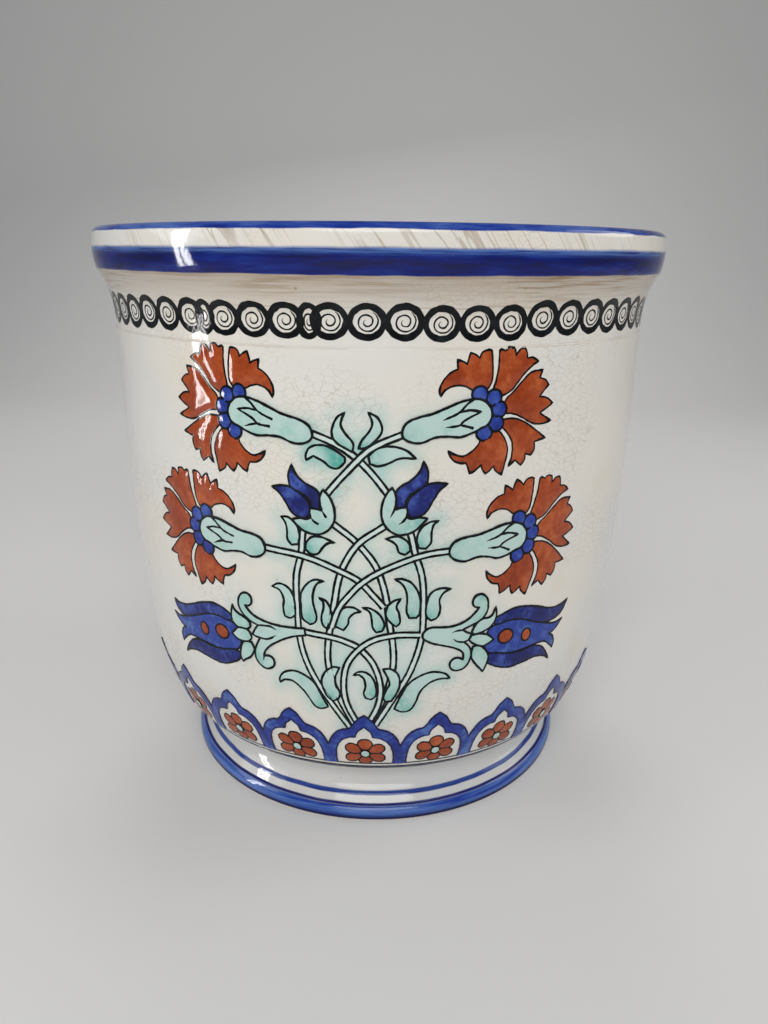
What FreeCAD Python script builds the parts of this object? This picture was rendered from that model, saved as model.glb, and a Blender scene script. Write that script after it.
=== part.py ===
import FreeCAD, Part
import math
import os

import Sketcher

# Driving sizes in millimetres. The stand stands on the table at height zero and the pot's
# base edge lies at stand_height. Drops are measured down from the rim's top.
sizes = {
    "pot_height": 243.7,          # base edge to rim top
    "belly_radius": 132.5,        # widest part of the body
    "wall": 6.0,                  # upper body, straight inside up to the lip
    "floor_thickness": 9.0,
    "floor_inset": 28.5,          # flat floor inside, in from the belly
    "inner_turn_share": 0.399,    # where the inside starts to close in, as a share of pot_height
    "base_inset_share": 0.0915,   # base edge, in from the belly
    "heel_share": 0.0398,         # top of the tight heel curve
    "turn_share": 0.2355,         # where the side starts to turn in
    "turn_round_share": 0.706,    # lower side, as an arc
    "side_round_share": 5.035,    # long slow curve of the side
    "side_share": 0.43,           # from there to the upright part under the crease
    "crease_drop": 43.8,          # crease line round the top of the body
    "crease_step": 0.4,           # collar set back behind the body
    "collar_height": 4.3,         # upright part over the crease
    "rim_overhang": 7.5,          # widest part of the rim, out from the belly
    "rim_height": 17.8,
    "rim_widest_drop": 8.5,
    "rim_face_round": 34.0,       # slight swell of the rim band
    "rim_shoulder_drop": 3.9,     # where the band turns over to the top, in two facets
    "rim_bevel_drop": 1.15,
    "rim_bevel_inset": 1.45,
    "rim_top_inset": 4.2,
    "lip_chamfer": 2.5,           # inner edge of the rim
    "foot_inset": 18.7,           # foot ring, in from the base edge
    "foot_width": 8.0,
    "foot_depth": 3.0,
    "foot_hollow": 1.0,           # underside dished inside the foot ring
    "seat_clearance": 0.5,        # stand lip to foot ring and to the pot's underside
    "stand_height": 32.8,
    "stand_plate": 8.0,
    "stand_wall": 9.0,
    "lip_width": 3.4,             # neck of the stand round the foot ring
    "neck_height": 19.6,
    "scotia_run": 1.5,            # hollow curve under the neck, in two facets
    "scotia_height": 14.2,
    "line_run": 3.0,
    "line_height": 10.6,          # edge between scotia and band
    "band_run": 3.2,              # sloped band over the bead
    "bead_notch": 1.0,
    "bead_height": 6.9,           # bead round the bottom, in two facets over an upright
    "bead_mid_run": 2.1,
    "bead_mid_height": 4.7,
    "bead_run": 0.6,
    "bead_upright": 2.2,
}

doc = FreeCAD.newDocument("cachepot_on_stand")
sheet = doc.addObject("Spreadsheet::Sheet", "Sizes")
for row, (alias, value) in enumerate(sizes.items(), start=1):
    sheet.set("A%d" % row, alias)
    sheet.set("B%d" % row, str(value))
    sheet.setAlias("B%d" % row, alias)
doc.recompute()


def bound(expression):
    # a sum of size names, spelt as an expression on the sheet
    return " ".join("Sizes." + word if word in sizes else word for word in expression.split())


def length(size):
    # a size expression in millimetres; a number is a starting guess and stays as it is
    return float(sheet.evalExpression(bound(size))) if isinstance(size, str) else size


def vector(point):
    return FreeCAD.Vector(point[0], point[1], 0)


base_radius = "belly_radius - pot_height * base_inset_share"
foot_radius = base_radius + " - foot_inset"


class HalfSection:
    # a closed outline in the body's XZ plane, to be turned round Z. A place is given by two
    # size expressions, which hold it, or by numbers that only start it near its solved place

    def __init__(self, body, name):
        self.sketch = body.newObject("Sketcher::SketchObject", name)
        plane = [feature for feature in body.Origin.OriginFeatures if feature.Role == "XZ_Plane"][0]
        self.sketch.AttachmentSupport = [(plane, "")]
        self.sketch.MapMode = "FlatFace"
        self.edges = []

    def rule(self, *terms):
        return self.sketch.addConstraint(Sketcher.Constraint(*terms))

    def drive(self, kind, terms, size):
        index = self.rule(kind, *terms, length(size))
        self.sketch.setExpression("Constraints[%d]" % index, bound(size))

    def pin(self, edge, end, across, up):
        if across == "axis":
            self.rule("PointOnObject", edge, end, -2)
        elif isinstance(across, str):
            self.drive("DistanceX", (-1, 1, edge, end), across)
        if up == "table":
            self.rule("PointOnObject", edge, end, -1)
        elif isinstance(up, str):
            self.drive("DistanceY", (-1, 1, edge, end), up)

    def place(self, across, up):
        return (0.0 if across == "axis" else length(across), 0.0 if up == "table" else length(up))

    def start(self, across, up):
        self.origin = (across, up)
        self.here = self.place(across, up)

    def follow(self, edge, begin, end, smooth):
        if self.edges:
            last, _, last_end = self.edges[-1]
            self.rule("Tangent" if smooth else "Coincident", last, last_end, edge, begin)
        self.edges.append((edge, begin, end))

    def line(self, across, up, smooth=False, along=None):
        target = self.place(across, up)
        edge = self.sketch.addGeometry(Part.LineSegment(vector(self.here), vector(target)))
        self.follow(edge, 1, 2, smooth)
        self.pin(edge, 2, across, up)
        if along:
            self.rule(along, edge)
        self.here = target
        return edge

    def arc(self, across, up, radius, turn, smooth=False, centre=None):
        # turn is 1 for an arc that bends left on its way round the outline, -1 for right
        target = self.place(across, up)
        reach = length(radius)
        run, rise = target[0] - self.here[0], target[1] - self.here[1]
        span = math.hypot(run, rise)
        offset = turn * math.sqrt(max(reach ** 2 - span ** 2 / 4, 0)) / span
        middle = (self.here[0] + run / 2 - rise * offset, self.here[1] + rise / 2 + run * offset)
        ends = (self.here, target) if turn > 0 else (target, self.here)
        first, last = [math.atan2(end[1] - middle[1], end[0] - middle[0]) for end in ends]
        circle = Part.Circle(vector(middle), FreeCAD.Vector(0, 0, 1), reach)
        edge = self.sketch.addGeometry(Part.ArcOfCircle(circle, first, last))
        begin, end = (1, 2) if turn > 0 else (2, 1)
        self.follow(edge, begin, end, smooth)
        self.pin(edge, end, across, up)
        if centre:
            self.pin(edge, 3, *centre)
        if isinstance(radius, str):
            self.drive("Radius", (edge,), radius)
        self.here = target
        return edge, end

    def close(self):
        edge = self.line(*self.origin)
        begin, begin_end, _ = self.edges[0]
        self.rule("Coincident", edge, 2, begin, begin_end)

    def turned(self, body):
        spin = body.newObject("PartDesign::Revolution", body.Name + "_turned")
        spin.Profile = self.sketch
        spin.ReferenceAxis = (self.sketch, ["V_Axis"])
        spin.Angle = 360
        return spin


def make_stand():
    body = doc.addObject("PartDesign::Body", "stand")
    body.Label = "stand"
    seat = "stand_height - foot_depth"
    top = "stand_height - seat_clearance"
    plate = "stand_height - foot_depth - stand_plate"
    seat_radius = foot_radius + " + seat_clearance"
    neck = seat_radius + " + lip_width"
    hollow = neck + " - stand_wall"
    scotia = neck + " + scotia_run"
    line = scotia + " + line_run"
    band = line + " + band_run"
    bead_top = band + " + bead_notch"
    bead_mid = bead_top + " + bead_mid_run"
    bead = bead_mid + " + bead_run"

    out = HalfSection(body, "stand_section")
    out.start("axis", plate)
    out.line(hollow, length(plate), along="Horizontal")
    out.line(length(hollow), "table", along="Vertical")
    out.line(bead, "table")
    out.line(length(bead), "bead_upright", along="Vertical")
    out.line(bead_mid, "bead_mid_height")
    out.line(bead_top, "bead_height")
    out.line(band, length("bead_height"), along="Horizontal")
    out.line(line, "line_height")
    out.line(scotia, "scotia_height")
    out.line(neck, "neck_height")
    out.line(length(neck), top, along="Vertical")
    out.line(seat_radius, length(top), along="Horizontal")
    out.line(length(seat_radius), seat, along="Vertical")
    out.line("axis", length(seat), along="Horizontal")
    out.close()
    out.turned(body)
    return body


def make_cachepot():
    body = doc.addObject("PartDesign::Body", "cachepot")
    body.Label = "cachepot"
    top = "stand_height + pot_height"
    crease = top + " - crease_drop"
    turn = "stand_height + pot_height * turn_share"
    belly = turn + " + pot_height * side_share"
    heel = "stand_height + pot_height * heel_share"
    collar = "belly_radius - crease_step"
    inside = "belly_radius - wall"
    inner_turn = "stand_height + pot_height * inner_turn_share"
    floor = "stand_height + foot_hollow + floor_thickness"
    rim_under = top + " - rim_height"
    turn_round = "pot_height * turn_round_share"
    side_round = "pot_height * side_round_share"
    rim_radius = "belly_radius + rim_overhang"
    rim_centre = (rim_radius + " - rim_face_round", top + " - rim_widest_drop")
    foot_inner = foot_radius + " - foot_width"

    # starting places of the joints that only the smooth curves fix
    side_angle = math.asin((length(belly) - length(turn)) / length(side_round))
    turn_radius = length("belly_radius") - length(side_round) * (1 - math.cos(side_angle))
    turn_centre = (turn_radius - length(turn_round) * math.cos(side_angle),
                   length(turn) + length(turn_round) * math.sin(side_angle))
    heel_radius = turn_centre[0] + math.sqrt(length(turn_round) ** 2 - (length(heel) - turn_centre[1]) ** 2)
    heel_round = 2 * math.hypot(heel_radius - length(base_radius), length(heel) - length("stand_height"))
    rim_swell = length("rim_face_round")
    rim_low = length(rim_centre[0]) + math.sqrt(rim_swell ** 2 - length("rim_height - rim_widest_drop") ** 2)
    rim_high = length(rim_centre[0]) + math.sqrt(
        rim_swell ** 2 - length("rim_widest_drop - rim_shoulder_drop") ** 2)
    cove_run = rim_low - length(collar)
    cove_round = (cove_run ** 2 + length("crease_drop - rim_height - collar_height") ** 2) / (2 * cove_run)

    out = HalfSection(body, "pot_section")
    out.start("axis", "stand_height + foot_hollow")
    out.line(foot_inner, length("stand_height + foot_hollow"), along="Horizontal")
    out.line(length(foot_inner), "stand_height - foot_depth", along="Vertical")
    out.line(foot_radius, length("stand_height - foot_depth"), along="Horizontal")
    out.line(length(foot_radius), "stand_height", along="Vertical")
    out.line(base_radius, length("stand_height"), along="Horizontal")
    out.arc(heel_radius, heel, heel_round, 1)
    out.arc(turn_radius, turn, turn_round, 1, smooth=True)
    out.arc("belly_radius", belly, side_round, 1, smooth=True)
    out.line(length("belly_radius"), crease, smooth=True, along="Vertical")
    out.line(collar, length(crease), along="Horizontal")
    out.line(length(collar), crease + " + collar_height", along="Vertical")
    out.arc(rim_low, rim_under, cove_round, -1, smooth=True)
    out.arc(rim_high, top + " - rim_shoulder_drop", "rim_face_round", 1, centre=rim_centre)
    out.line(rim_radius + " - rim_bevel_inset", top + " - rim_bevel_drop")
    out.line(rim_radius + " - rim_top_inset", top)
    out.line(inside + " + lip_chamfer", length(top), along="Horizontal")
    out.line(inside, top + " - lip_chamfer")
    out.line(length(inside), inner_turn, along="Vertical")
    out.line("belly_radius - floor_inset", floor)
    out.line("axis", length(floor), along="Horizontal")
    out.close()
    out.turned(body)
    return body


pieces = [make_stand(), make_cachepot()]
doc.recompute()

for item in doc.Objects:
    if "Invalid" in item.State or "Error" in item.State:
        raise RuntimeError("failed to build: " + item.Label)
for piece in pieces:
    if piece.Shape.isNull() or not piece.Shape.isValid():
        raise RuntimeError("bad solid: " + piece.Label)

os.makedirs("parts", exist_ok=True)
for piece in pieces:
    piece.Shape.exportStep(os.path.join("parts", piece.Label + ".step"))
    print(piece.Label, "volume", round(piece.Shape.Volume), "mm3")
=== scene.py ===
import math
import random

import bpy
import numpy as np
from mathutils import Matrix, Vector
from mathutils.geometry import delaunay_2d_cdt


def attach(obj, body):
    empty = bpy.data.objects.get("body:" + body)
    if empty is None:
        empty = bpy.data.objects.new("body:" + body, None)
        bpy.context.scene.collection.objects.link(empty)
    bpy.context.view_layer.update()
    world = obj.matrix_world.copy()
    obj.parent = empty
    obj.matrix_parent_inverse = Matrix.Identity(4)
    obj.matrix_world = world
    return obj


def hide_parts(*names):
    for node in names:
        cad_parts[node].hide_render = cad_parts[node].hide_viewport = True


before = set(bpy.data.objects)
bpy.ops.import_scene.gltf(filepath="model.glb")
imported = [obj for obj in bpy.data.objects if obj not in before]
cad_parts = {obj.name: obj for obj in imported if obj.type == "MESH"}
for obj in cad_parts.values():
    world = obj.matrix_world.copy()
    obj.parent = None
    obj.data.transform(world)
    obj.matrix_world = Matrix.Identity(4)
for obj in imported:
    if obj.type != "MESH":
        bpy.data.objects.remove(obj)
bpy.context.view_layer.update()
scene = bpy.context.scene
scene.view_settings.view_transform = "Standard"
mm = 0.001  # drawings and outlines below are in millimetres


def addNode(tree, kind, inputs=None, **settings):
    made = tree.nodes.new(kind)
    for name, value in settings.items():
        setattr(made, name, value)
    for key, value in (inputs or {}).items():
        if isinstance(value, bpy.types.NodeSocket):
            tree.links.new(value, made.inputs[key])
        else:
            made.inputs[key].default_value = value
    return made


def calc(tree, operation, *values):
    return addNode(tree, "ShaderNodeMath", dict(enumerate(values)), operation=operation).outputs[0]


def vectorCalc(tree, operation, *values):
    return addNode(tree, "ShaderNodeVectorMath", dict(enumerate(values)), operation=operation).outputs[0]


def ramp(tree, value, low, high, lowTo=0.0, highTo=1.0):
    inputs = {0: value, 1: low, 2: high, 3: lowTo, 4: highTo}
    return addNode(tree, "ShaderNodeMapRange", inputs, interpolation_type="SMOOTHSTEP").outputs[0]


def mixColour(tree, share, low, high):
    inputs = {0: share, 6: low, 7: high}
    return addNode(tree, "ShaderNodeMix", inputs, data_type="RGBA").outputs[2]


def times(tree, product, *factors):
    for factor in factors:
        product = calc(tree, "MULTIPLY", product, factor)
    return product


def scaled(tree, vector, factor):
    return addNode(tree, "ShaderNodeVectorMath", {0: vector, "Scale": factor}, operation="SCALE").outputs[0]


def measured(tree, operation, *vectors):
    # vector arithmetic that gives a number
    inputs = dict(enumerate(vectors))
    return addNode(tree, "ShaderNodeVectorMath", inputs, operation=operation).outputs["Value"]


def axesOf(tree, vector):
    return addNode(tree, "ShaderNodeSeparateXYZ", {0: vector}).outputs


def joinAxes(tree, x=0.0, y=0.0, z=0.0):
    return addNode(tree, "ShaderNodeCombineXYZ", {0: x, 1: y, 2: z}).outputs[0]


def inMetres(span):
    return [edge * mm for edge in span]


def newTree(name, kind, inputs, outputs):
    tree = bpy.data.node_groups.new(name, kind)
    for label, socketKind in inputs:
        tree.interface.new_socket(name=label, in_out="INPUT", socket_type="NodeSocket" + socketKind)
    for label, socketKind in outputs:
        tree.interface.new_socket(name=label, in_out="OUTPUT", socket_type="NodeSocket" + socketKind)
    return tree, tree.nodes.new("NodeGroupInput").outputs, tree.nodes.new("NodeGroupOutput").inputs


def onGeometry(tree, kind, geometry, inputs=None, **settings):
    return addNode(tree, kind, {"Geometry": geometry, **(inputs or {})}, **settings).outputs[0]


def crispEdges(tree, geometry, angle):
    smooth = onGeometry(tree, "GeometryNodeSetShadeSmooth", geometry)
    bend = addNode(tree, "GeometryNodeInputMeshEdgeAngle").outputs["Unsigned Angle"]
    sharp = {"Selection": calc(tree, "GREATER_THAN", bend, angle), "Shade Smooth": False}
    return onGeometry(tree, "GeometryNodeSetShadeSmooth", smooth, sharp, domain="EDGE")


def endTree(tree, geometry, given, result):
    real = onGeometry(tree, "GeometryNodeRealizeInstances", geometry)
    glazed = onGeometry(tree, "GeometryNodeSetMaterial", real, {"Material": given["Material"]})
    tree.links.new(glazed, result["Geometry"])
    return tree


def runTree(piece, tree, values):
    # the tree's result becomes the piece's plain mesh
    modifier = piece.modifiers.new(tree.name, "NODES")
    modifier.node_group = tree
    for item in tree.interface.items_tree:
        if item.in_out == "INPUT" and item.name in values:
            modifier[item.identifier] = values[item.name]
    depsgraph = bpy.context.evaluated_depsgraph_get()
    mesh = bpy.data.meshes.new_from_object(
        piece.evaluated_get(depsgraph), preserve_all_data_layers=True, depsgraph=depsgraph)
    piece.modifiers.remove(modifier)
    piece.data = mesh
    return piece


def newPiece(name, points=(), edges=(), faces=()):
    mesh = bpy.data.meshes.new(name)
    mesh.from_pydata(points, edges, faces)
    piece = bpy.data.objects.new(name, mesh)
    scene.collection.objects.link(piece)
    return piece


# Shared shader groups: each takes Object coordinates and puts out masks for the glazes

def noiseOf(tree, vector, size, detail=2.0, rough=0.5):
    inputs = {"Vector": vector, "Scale": 1 / size, "Detail": detail, "Roughness": rough}
    return addNode(tree, "ShaderNodeTexNoise", inputs).outputs["Fac"]


def makeBrushGroup():
    # uneven strokes of a loaded brush, thin here and pooled there
    tree, given, result = newTree("brushPooling", "ShaderNodeTree",
                                  [("Vector", "Vector"), ("Stretch", "Vector")],
                                  [("Thin", "Float"), ("Pooled", "Float")])
    stretched = vectorCalc(tree, "MULTIPLY", given["Vector"], given["Stretch"])
    broad = noiseOf(tree, stretched, 0.011, 3.0, 0.6)
    fine = noiseOf(tree, stretched, 0.0022, 2.0)
    joined = calc(tree, "ADD", times(tree, broad, 0.75), times(tree, fine, 0.25))
    tree.links.new(ramp(tree, joined, 0.46, 0.68), result["Thin"])
    tree.links.new(ramp(tree, joined, 0.50, 0.34), result["Pooled"])
    return tree


def makeCrackleGroup():
    # fine craquelure in some patches of the glaze
    tree, given, result = newTree("glazeCrackle", "ShaderNodeTree",
                                  [("Vector", "Vector"), ("Cell", "Float")],
                                  [("Lines", "Float")])
    drift = addNode(tree, "ShaderNodeTexNoise", {"Vector": given["Vector"], "Scale": 180.0}).outputs["Color"]
    drift = vectorCalc(tree, "MULTIPLY", drift, (0.003, 0.003, 0.003))
    bent = vectorCalc(tree, "MULTIPLY", vectorCalc(tree, "ADD", given["Vector"], drift), (1.0, 1.0, 1.7))
    cells = {"Vector": bent, "Scale": calc(tree, "DIVIDE", 1.0, given["Cell"])}
    edge = addNode(tree, "ShaderNodeTexVoronoi", cells, feature="DISTANCE_TO_EDGE").outputs["Distance"]
    lines = ramp(tree, edge, 0.05, 0.012)
    patch = ramp(tree, noiseOf(tree, given["Vector"], 0.045, 1.0), 0.44, 0.62)
    tree.links.new(times(tree, lines, patch), result["Lines"])
    return tree


def makeSpeckGroup():
    # pinholes and kiln dust
    tree, given, result = newTree("glazeSpecks", "ShaderNodeTree",
                                  [("Vector", "Vector"), ("Spacing", "Float")],
                                  [("Specks", "Float")])
    scale = calc(tree, "DIVIDE", 1.0, given["Spacing"])
    cells = addNode(tree, "ShaderNodeTexVoronoi", {"Vector": given["Vector"], "Scale": scale})
    chosen = addNode(tree, "ShaderNodeSeparateColor", {0: cells.outputs["Color"]})
    size = ramp(tree, chosen.outputs[0], 0.72, 1.0, 0.0, 0.05)
    spot = calc(tree, "LESS_THAN", cells.outputs["Distance"], size)
    tree.links.new(spot, result["Specks"])
    return tree


def makeRippleGroup():
    # the soft unevenness of a thick glaze, as a height
    tree, given, result = newTree("glazeRipple", "ShaderNodeTree", [("Vector", "Vector")],
                                  [("Height", "Float")])
    broad = noiseOf(tree, given["Vector"], 0.016, 1.0)
    fine = noiseOf(tree, given["Vector"], 0.0035, 1.0)
    tree.links.new(calc(tree, "ADD", broad, times(tree, fine, 0.16)), result["Height"])
    return tree


brushGroup = makeBrushGroup()
crackleGroup = makeCrackleGroup()
speckGroup = makeSpeckGroup()
rippleGroup = makeRippleGroup()


def placeGroup(tree, group, inputs):
    return addNode(tree, "ShaderNodeGroup", inputs, node_tree=group).outputs


glazeFinish = {
    "roughness": 0.07,
    "enamelRoughness": 0.08,
    "bareRoughness": 0.8,      # unglazed clay
    "specular": 0.26,
    "lineSpecular": 0.15,
    "ripple": (0.25, 1.2),     # strength, and height in millimetres
    "enamelRipple": (0.35, 1.0),
    "bandEdge": 0.25,          # a painted edge fades over this to each side, in millimetres
    "speckSpacing": 11.0,
    "speckShare": 0.6,
}


def newGlaze(name, roughness, specular):
    material = bpy.data.materials.new(name)
    material.use_nodes = True
    tree = material.node_tree
    shader = tree.nodes["Principled BSDF"]
    shader.inputs["Roughness"].default_value = roughness
    shader.inputs["Specular IOR Level"].default_value = specular
    place = addNode(tree, "ShaderNodeTexCoord").outputs["Object"]
    return material, tree, shader, place


def endGlaze(tree, shader, place, colour, ripple):
    strength, rise = ripple
    height = placeGroup(tree, rippleGroup, {"Vector": place})["Height"]
    bump = addNode(tree, "ShaderNodeBump", {"Strength": strength, "Distance": rise * mm, "Height": height})
    tree.links.new(bump.outputs[0], shader.inputs["Normal"])
    tree.links.new(colour, shader.inputs["Base Color"])


glazeColours = {
    "white": (0.72, 0.68, 0.61, 1),
    "whiteCool": (0.69, 0.68, 0.64, 1),
    "whiteWarm": (0.68, 0.60, 0.47, 1),
    # brown for marks in the glaze, and for the painted shade in the crease
    "stainAndShade": (0.27, 0.17, 0.085, 1),
    "crackle": (0.33, 0.24, 0.15, 1),
    "bisque": (0.56, 0.43, 0.30, 1),
    "wash": (0.27, 0.53, 0.49, 1),
    "cobalt": (0.007, 0.014, 0.14, 1),
    "cobaltMid": (0.016, 0.038, 0.265, 1),
    "cobaltThin": (0.050, 0.095, 0.37, 1),
    # pale blue for the stand bead's streaks, which are partly painted highlight
    "cobaltPale": (0.16, 0.25, 0.55, 1),
    "cobaltSky": (0.080, 0.165, 0.42, 1),
    "cobaltDeep": (0.004, 0.006, 0.060, 1),
    "rimCobalt": (0.002, 0.008, 0.125, 1),
    "rimThin": (0.011, 0.038, 0.27, 1),
    "rimFringe": (0.12, 0.23, 0.53, 1),
    "beadBlue": (0.045, 0.105, 0.35, 1),
    "standShadedWhite": (0.47, 0.485, 0.50, 1),
    "red": (0.32, 0.052, 0.012, 1),
    "redThin": (0.45, 0.105, 0.030, 1),
    "redDeep": (0.21, 0.031, 0.008, 1),
    "turquoisePale": (0.46, 0.61, 0.565, 1),
    "turquoiseMid": (0.32, 0.55, 0.48, 1),
    "turquoise": (0.055, 0.345, 0.285, 1),
    "stemPale": (0.58, 0.67, 0.63, 1),
    "line": (0.004, 0.005, 0.006, 1),
    "lineThin": (0.012, 0.015, 0.018, 1),
}


def bandMask(tree, height, span, wander, place, feather=glazeFinish["bandEdge"]):
    # a band between two heights whose edges wander and whose top fades over the feather, in millimetres
    low, high = inMetres(span)
    drift = calc(tree, "SUBTRACT", noiseOf(tree, place, 0.020, 2.0), 0.5)
    moved = calc(tree, "ADD", height, times(tree, drift, wander * mm * 2))
    soft = glazeFinish["bandEdge"] * mm
    bottom = ramp(tree, moved, low - soft, low + soft)
    return times(tree, bottom, ramp(tree, moved, high + feather * mm, high - feather * mm))


def tinted(tree, colour, mask, share, paint="stainAndShade"):
    return mixColour(tree, times(tree, mask, share), colour, glazeColours[paint])


def speckMask(tree, place, spacing):
    return placeGroup(tree, speckGroup, {"Vector": place, "Spacing": spacing * mm})["Specks"]


def leaveBare(tree, shader, height, colour, top):
    # the foot ring stands on clay without glaze
    bare = calc(tree, "LESS_THAN", height, top * mm)
    rough = ramp(tree, bare, 0.0, 1.0, glazeFinish["roughness"], glazeFinish["bareRoughness"])
    tree.links.new(rough, shader.inputs["Roughness"])
    return mixColour(tree, bare, colour, glazeColours["bisque"])


def brushedBlue(tree, place, stretch, paints, thinShare):
    plain, thin, deep = paints
    pooling = placeGroup(tree, brushGroup, {"Vector": place, "Stretch": stretch})
    blue = tinted(tree, glazeColours[plain], pooling["Thin"], thinShare, thin)
    return mixColour(tree, pooling["Pooled"], blue, glazeColours[deep])


def whiteOf(tree, place):
    blotch = ramp(tree, noiseOf(tree, place, 0.07, 2.0), 0.35, 0.65)
    white = mixColour(tree, blotch, glazeColours["white"], glazeColours["whiteCool"])
    return tinted(tree, white, ramp(tree, noiseOf(tree, place, 0.03, 3.0), 0.55, 0.78), 0.35, "whiteWarm")


# Heights and sizes in millimetres; a share is how far a mark covers what is under it
potPaint = {
    "topLine": (274.0, 278.0),
    "rimBand": (258.5, 267.9),
    "bandFeather": 0.7,
    "bandStroke": (0.25, 0.25, 2.2),
    "rimHaze": (264.6, 267.4),
    "hazeShare": 0.75,
    "scratchFrom": 267.0,
    "scratchLean": 5.0,        # radians a metre
    "scratchShare": 0.62,
    "coveDarkening": (240.0, 257.5),
    "coveTop": 259.2,
    "coveEdge": (257.4, 259.0),
    "coveHairline": (247.2, 247.6),
    "streakStretch": 30.0,
    "streakShare": 0.5,
    "coveDarkeningShare": 0.42,
    # dirt and painted shade along the crease
    "creaseDirtAndShade": (232.0, 232.9),
    "baseLines": [(34.2, 37.9), (39.3, 40.5)],
    "waterLine": (70.0, 92.0),
    "waterRadius": 114.5,      # the tide mark lies within this
    "tideShare": 0.3,
    "bareFoot": 30.0,
    "insideRadius": 127.5,     # the outside's paint lies beyond this
    "crackleCell": 4.0,
    "crackleShare": 0.31,
    "inkSpacing": 4.2,
}


def makePotGlaze():
    material, tree, shader, place = newGlaze("potGlaze", glazeFinish["roughness"], glazeFinish["specular"])
    axes = axesOf(tree, place)
    height = axes[2]
    flat = joinAxes(tree, axes[0], axes[1])
    radius = measured(tree, "LENGTH", flat)
    outside = calc(tree, "GREATER_THAN", radius, potPaint["insideRadius"] * mm)

    # turquoise that bled into the white round stems and leaves
    wash = addNode(tree, "ShaderNodeAttribute", attribute_name="wash").outputs["Fac"]
    uneven = ramp(tree, noiseOf(tree, place, 0.013, 3.0), 0.30, 0.70, 0.30, 1.15)
    colour = tinted(tree, whiteOf(tree, place), wash, uneven, "wash")

    # brown wear in level streaks under the blue band, over an even darkening that grows towards the rim's
    # underside
    level = vectorCalc(tree, "MULTIPLY", place, (1.0, 1.0, potPaint["streakStretch"]))
    below = calc(tree, "LESS_THAN", height, potPaint["coveTop"] * mm)
    cove = times(tree, ramp(tree, height, *inMetres(potPaint["coveDarkening"])), below, outside)
    streak = ramp(tree, noiseOf(tree, level, 0.032, 4.0, 0.65), 0.42, 0.66)
    stretches = ramp(tree, noiseOf(tree, place, 0.08, 1.0), 0.40, 0.60, 0.3, 1.0)
    streak = times(tree, streak, stretches, potPaint["streakShare"])
    colour = tinted(tree, colour, cove, calc(tree, "ADD", streak, potPaint["coveDarkeningShare"]))
    patchy = ramp(tree, noiseOf(tree, place, 0.045, 2.0), 0.36, 0.60)
    broken = calc(tree, "ADD", times(tree, patchy, 0.7), 0.3)
    # the crease line is dirt and painted shade; a darker line runs along the corner under the rim, and a
    # hairline across the cove
    for name, wander, share in (("creaseDirtAndShade", 0.2, 0.3), ("coveEdge", 0.6, 0.4), ("coveHairline", 1.6, 0.5)):
        seam = bandMask(tree, height, potPaint[name], wander, place)
        colour = tinted(tree, colour, times(tree, seam, outside, broken), share)

    # scratches on the white band lean the same way all round, because the noise turns as it climbs
    turn = {"Vector": flat, "Angle": times(tree, height, potPaint["scratchLean"])}
    lean = addNode(tree, "ShaderNodeVectorRotate", turn, rotation_type="Z_AXIS").outputs[0]
    ridge = calc(tree, "ABSOLUTE", calc(tree, "SUBTRACT", noiseOf(tree, lean, 0.008, 2.0), 0.5))
    smear = times(tree, ramp(tree, noiseOf(tree, lean, 0.004, 3.0, 0.6), 0.56, 0.70), 0.35)
    scratch = calc(tree, "MAXIMUM", ramp(tree, ridge, 0.022, 0.004), smear)
    start = potPaint["scratchFrom"] * mm
    above = ramp(tree, height, start, start + 0.0005)
    colour = tinted(tree, colour, times(tree, scratch, patchy, above, outside), potPaint["scratchShare"])
    crackle = {"Vector": place, "Cell": potPaint["crackleCell"] * mm}
    lines = placeGroup(tree, crackleGroup, crackle)["Lines"]
    colour = tinted(tree, colour, lines, potPaint["crackleShare"], "crackle")

    # painted bands, brushed while the pot turned
    stroke = potPaint["bandStroke"]
    blue = brushedBlue(tree, place, stroke, ("rimCobalt", "rimThin", "cobaltDeep"), 0.7)
    haze = ramp(tree, height, *inMetres(potPaint["rimHaze"]))
    haze = times(tree, haze, ramp(tree, noiseOf(tree, level, 0.02, 3.0), 0.2, 0.7))
    blue = tinted(tree, blue, haze, potPaint["hazeShare"], "rimFringe")
    lip = brushedBlue(tree, place, stroke, ("rimThin", "rimFringe", "rimCobalt"), 0.5)
    for name, wander, paint, feather in (("rimBand", 0.6, blue, potPaint["bandFeather"]),
                                         ("topLine", 0.8, lip, glazeFinish["bandEdge"])):
        band = bandMask(tree, height, potPaint[name], wander, place, feather)
        colour = mixColour(tree, times(tree, band, outside), colour, paint)
    for span in potPaint["baseLines"]:
        colour = mixColour(tree, bandMask(tree, height, span, 0.2, place), colour, glazeColours["line"])
    specks = speckMask(tree, place, glazeFinish["speckSpacing"])
    colour = tinted(tree, colour, specks, glazeFinish["speckShare"])

    # inside, a tide mark where water stood
    within = calc(tree, "LESS_THAN", radius, potPaint["waterRadius"] * mm)
    tide = bandMask(tree, height, potPaint["waterLine"], 4.0, place)
    tide = times(tree, tide, within, ramp(tree, noiseOf(tree, level, 0.03, 3.0), 0.3, 0.7))
    colour = tinted(tree, colour, tide, potPaint["tideShare"])
    colour = leaveBare(tree, shader, height, colour, potPaint["bareFoot"])
    ink = speckMask(tree, place, potPaint["inkSpacing"])
    colour = tinted(tree, colour, ink, ramp(tree, wash, 0.02, 0.3), "line")
    endGlaze(tree, shader, place, colour, glazeFinish["ripple"])
    return material


standPaint = {
    "shadedWhiteShare": 0.6,         # of a greyer, cooler white: painted shade that makes the stand darker than the pot
    "stroke": (0.2, 0.2, 4.0),
    "bead": (-1.0, 6.5),
    # painted shade: the bead darkens towards its bottom over this span
    "beadShade": (3.4, 1.2),
    "darkLine": (6.5, 7.1),
    "thinLine": (9.8, 11.4),
    "bareFoot": 0.3,
}


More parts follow.
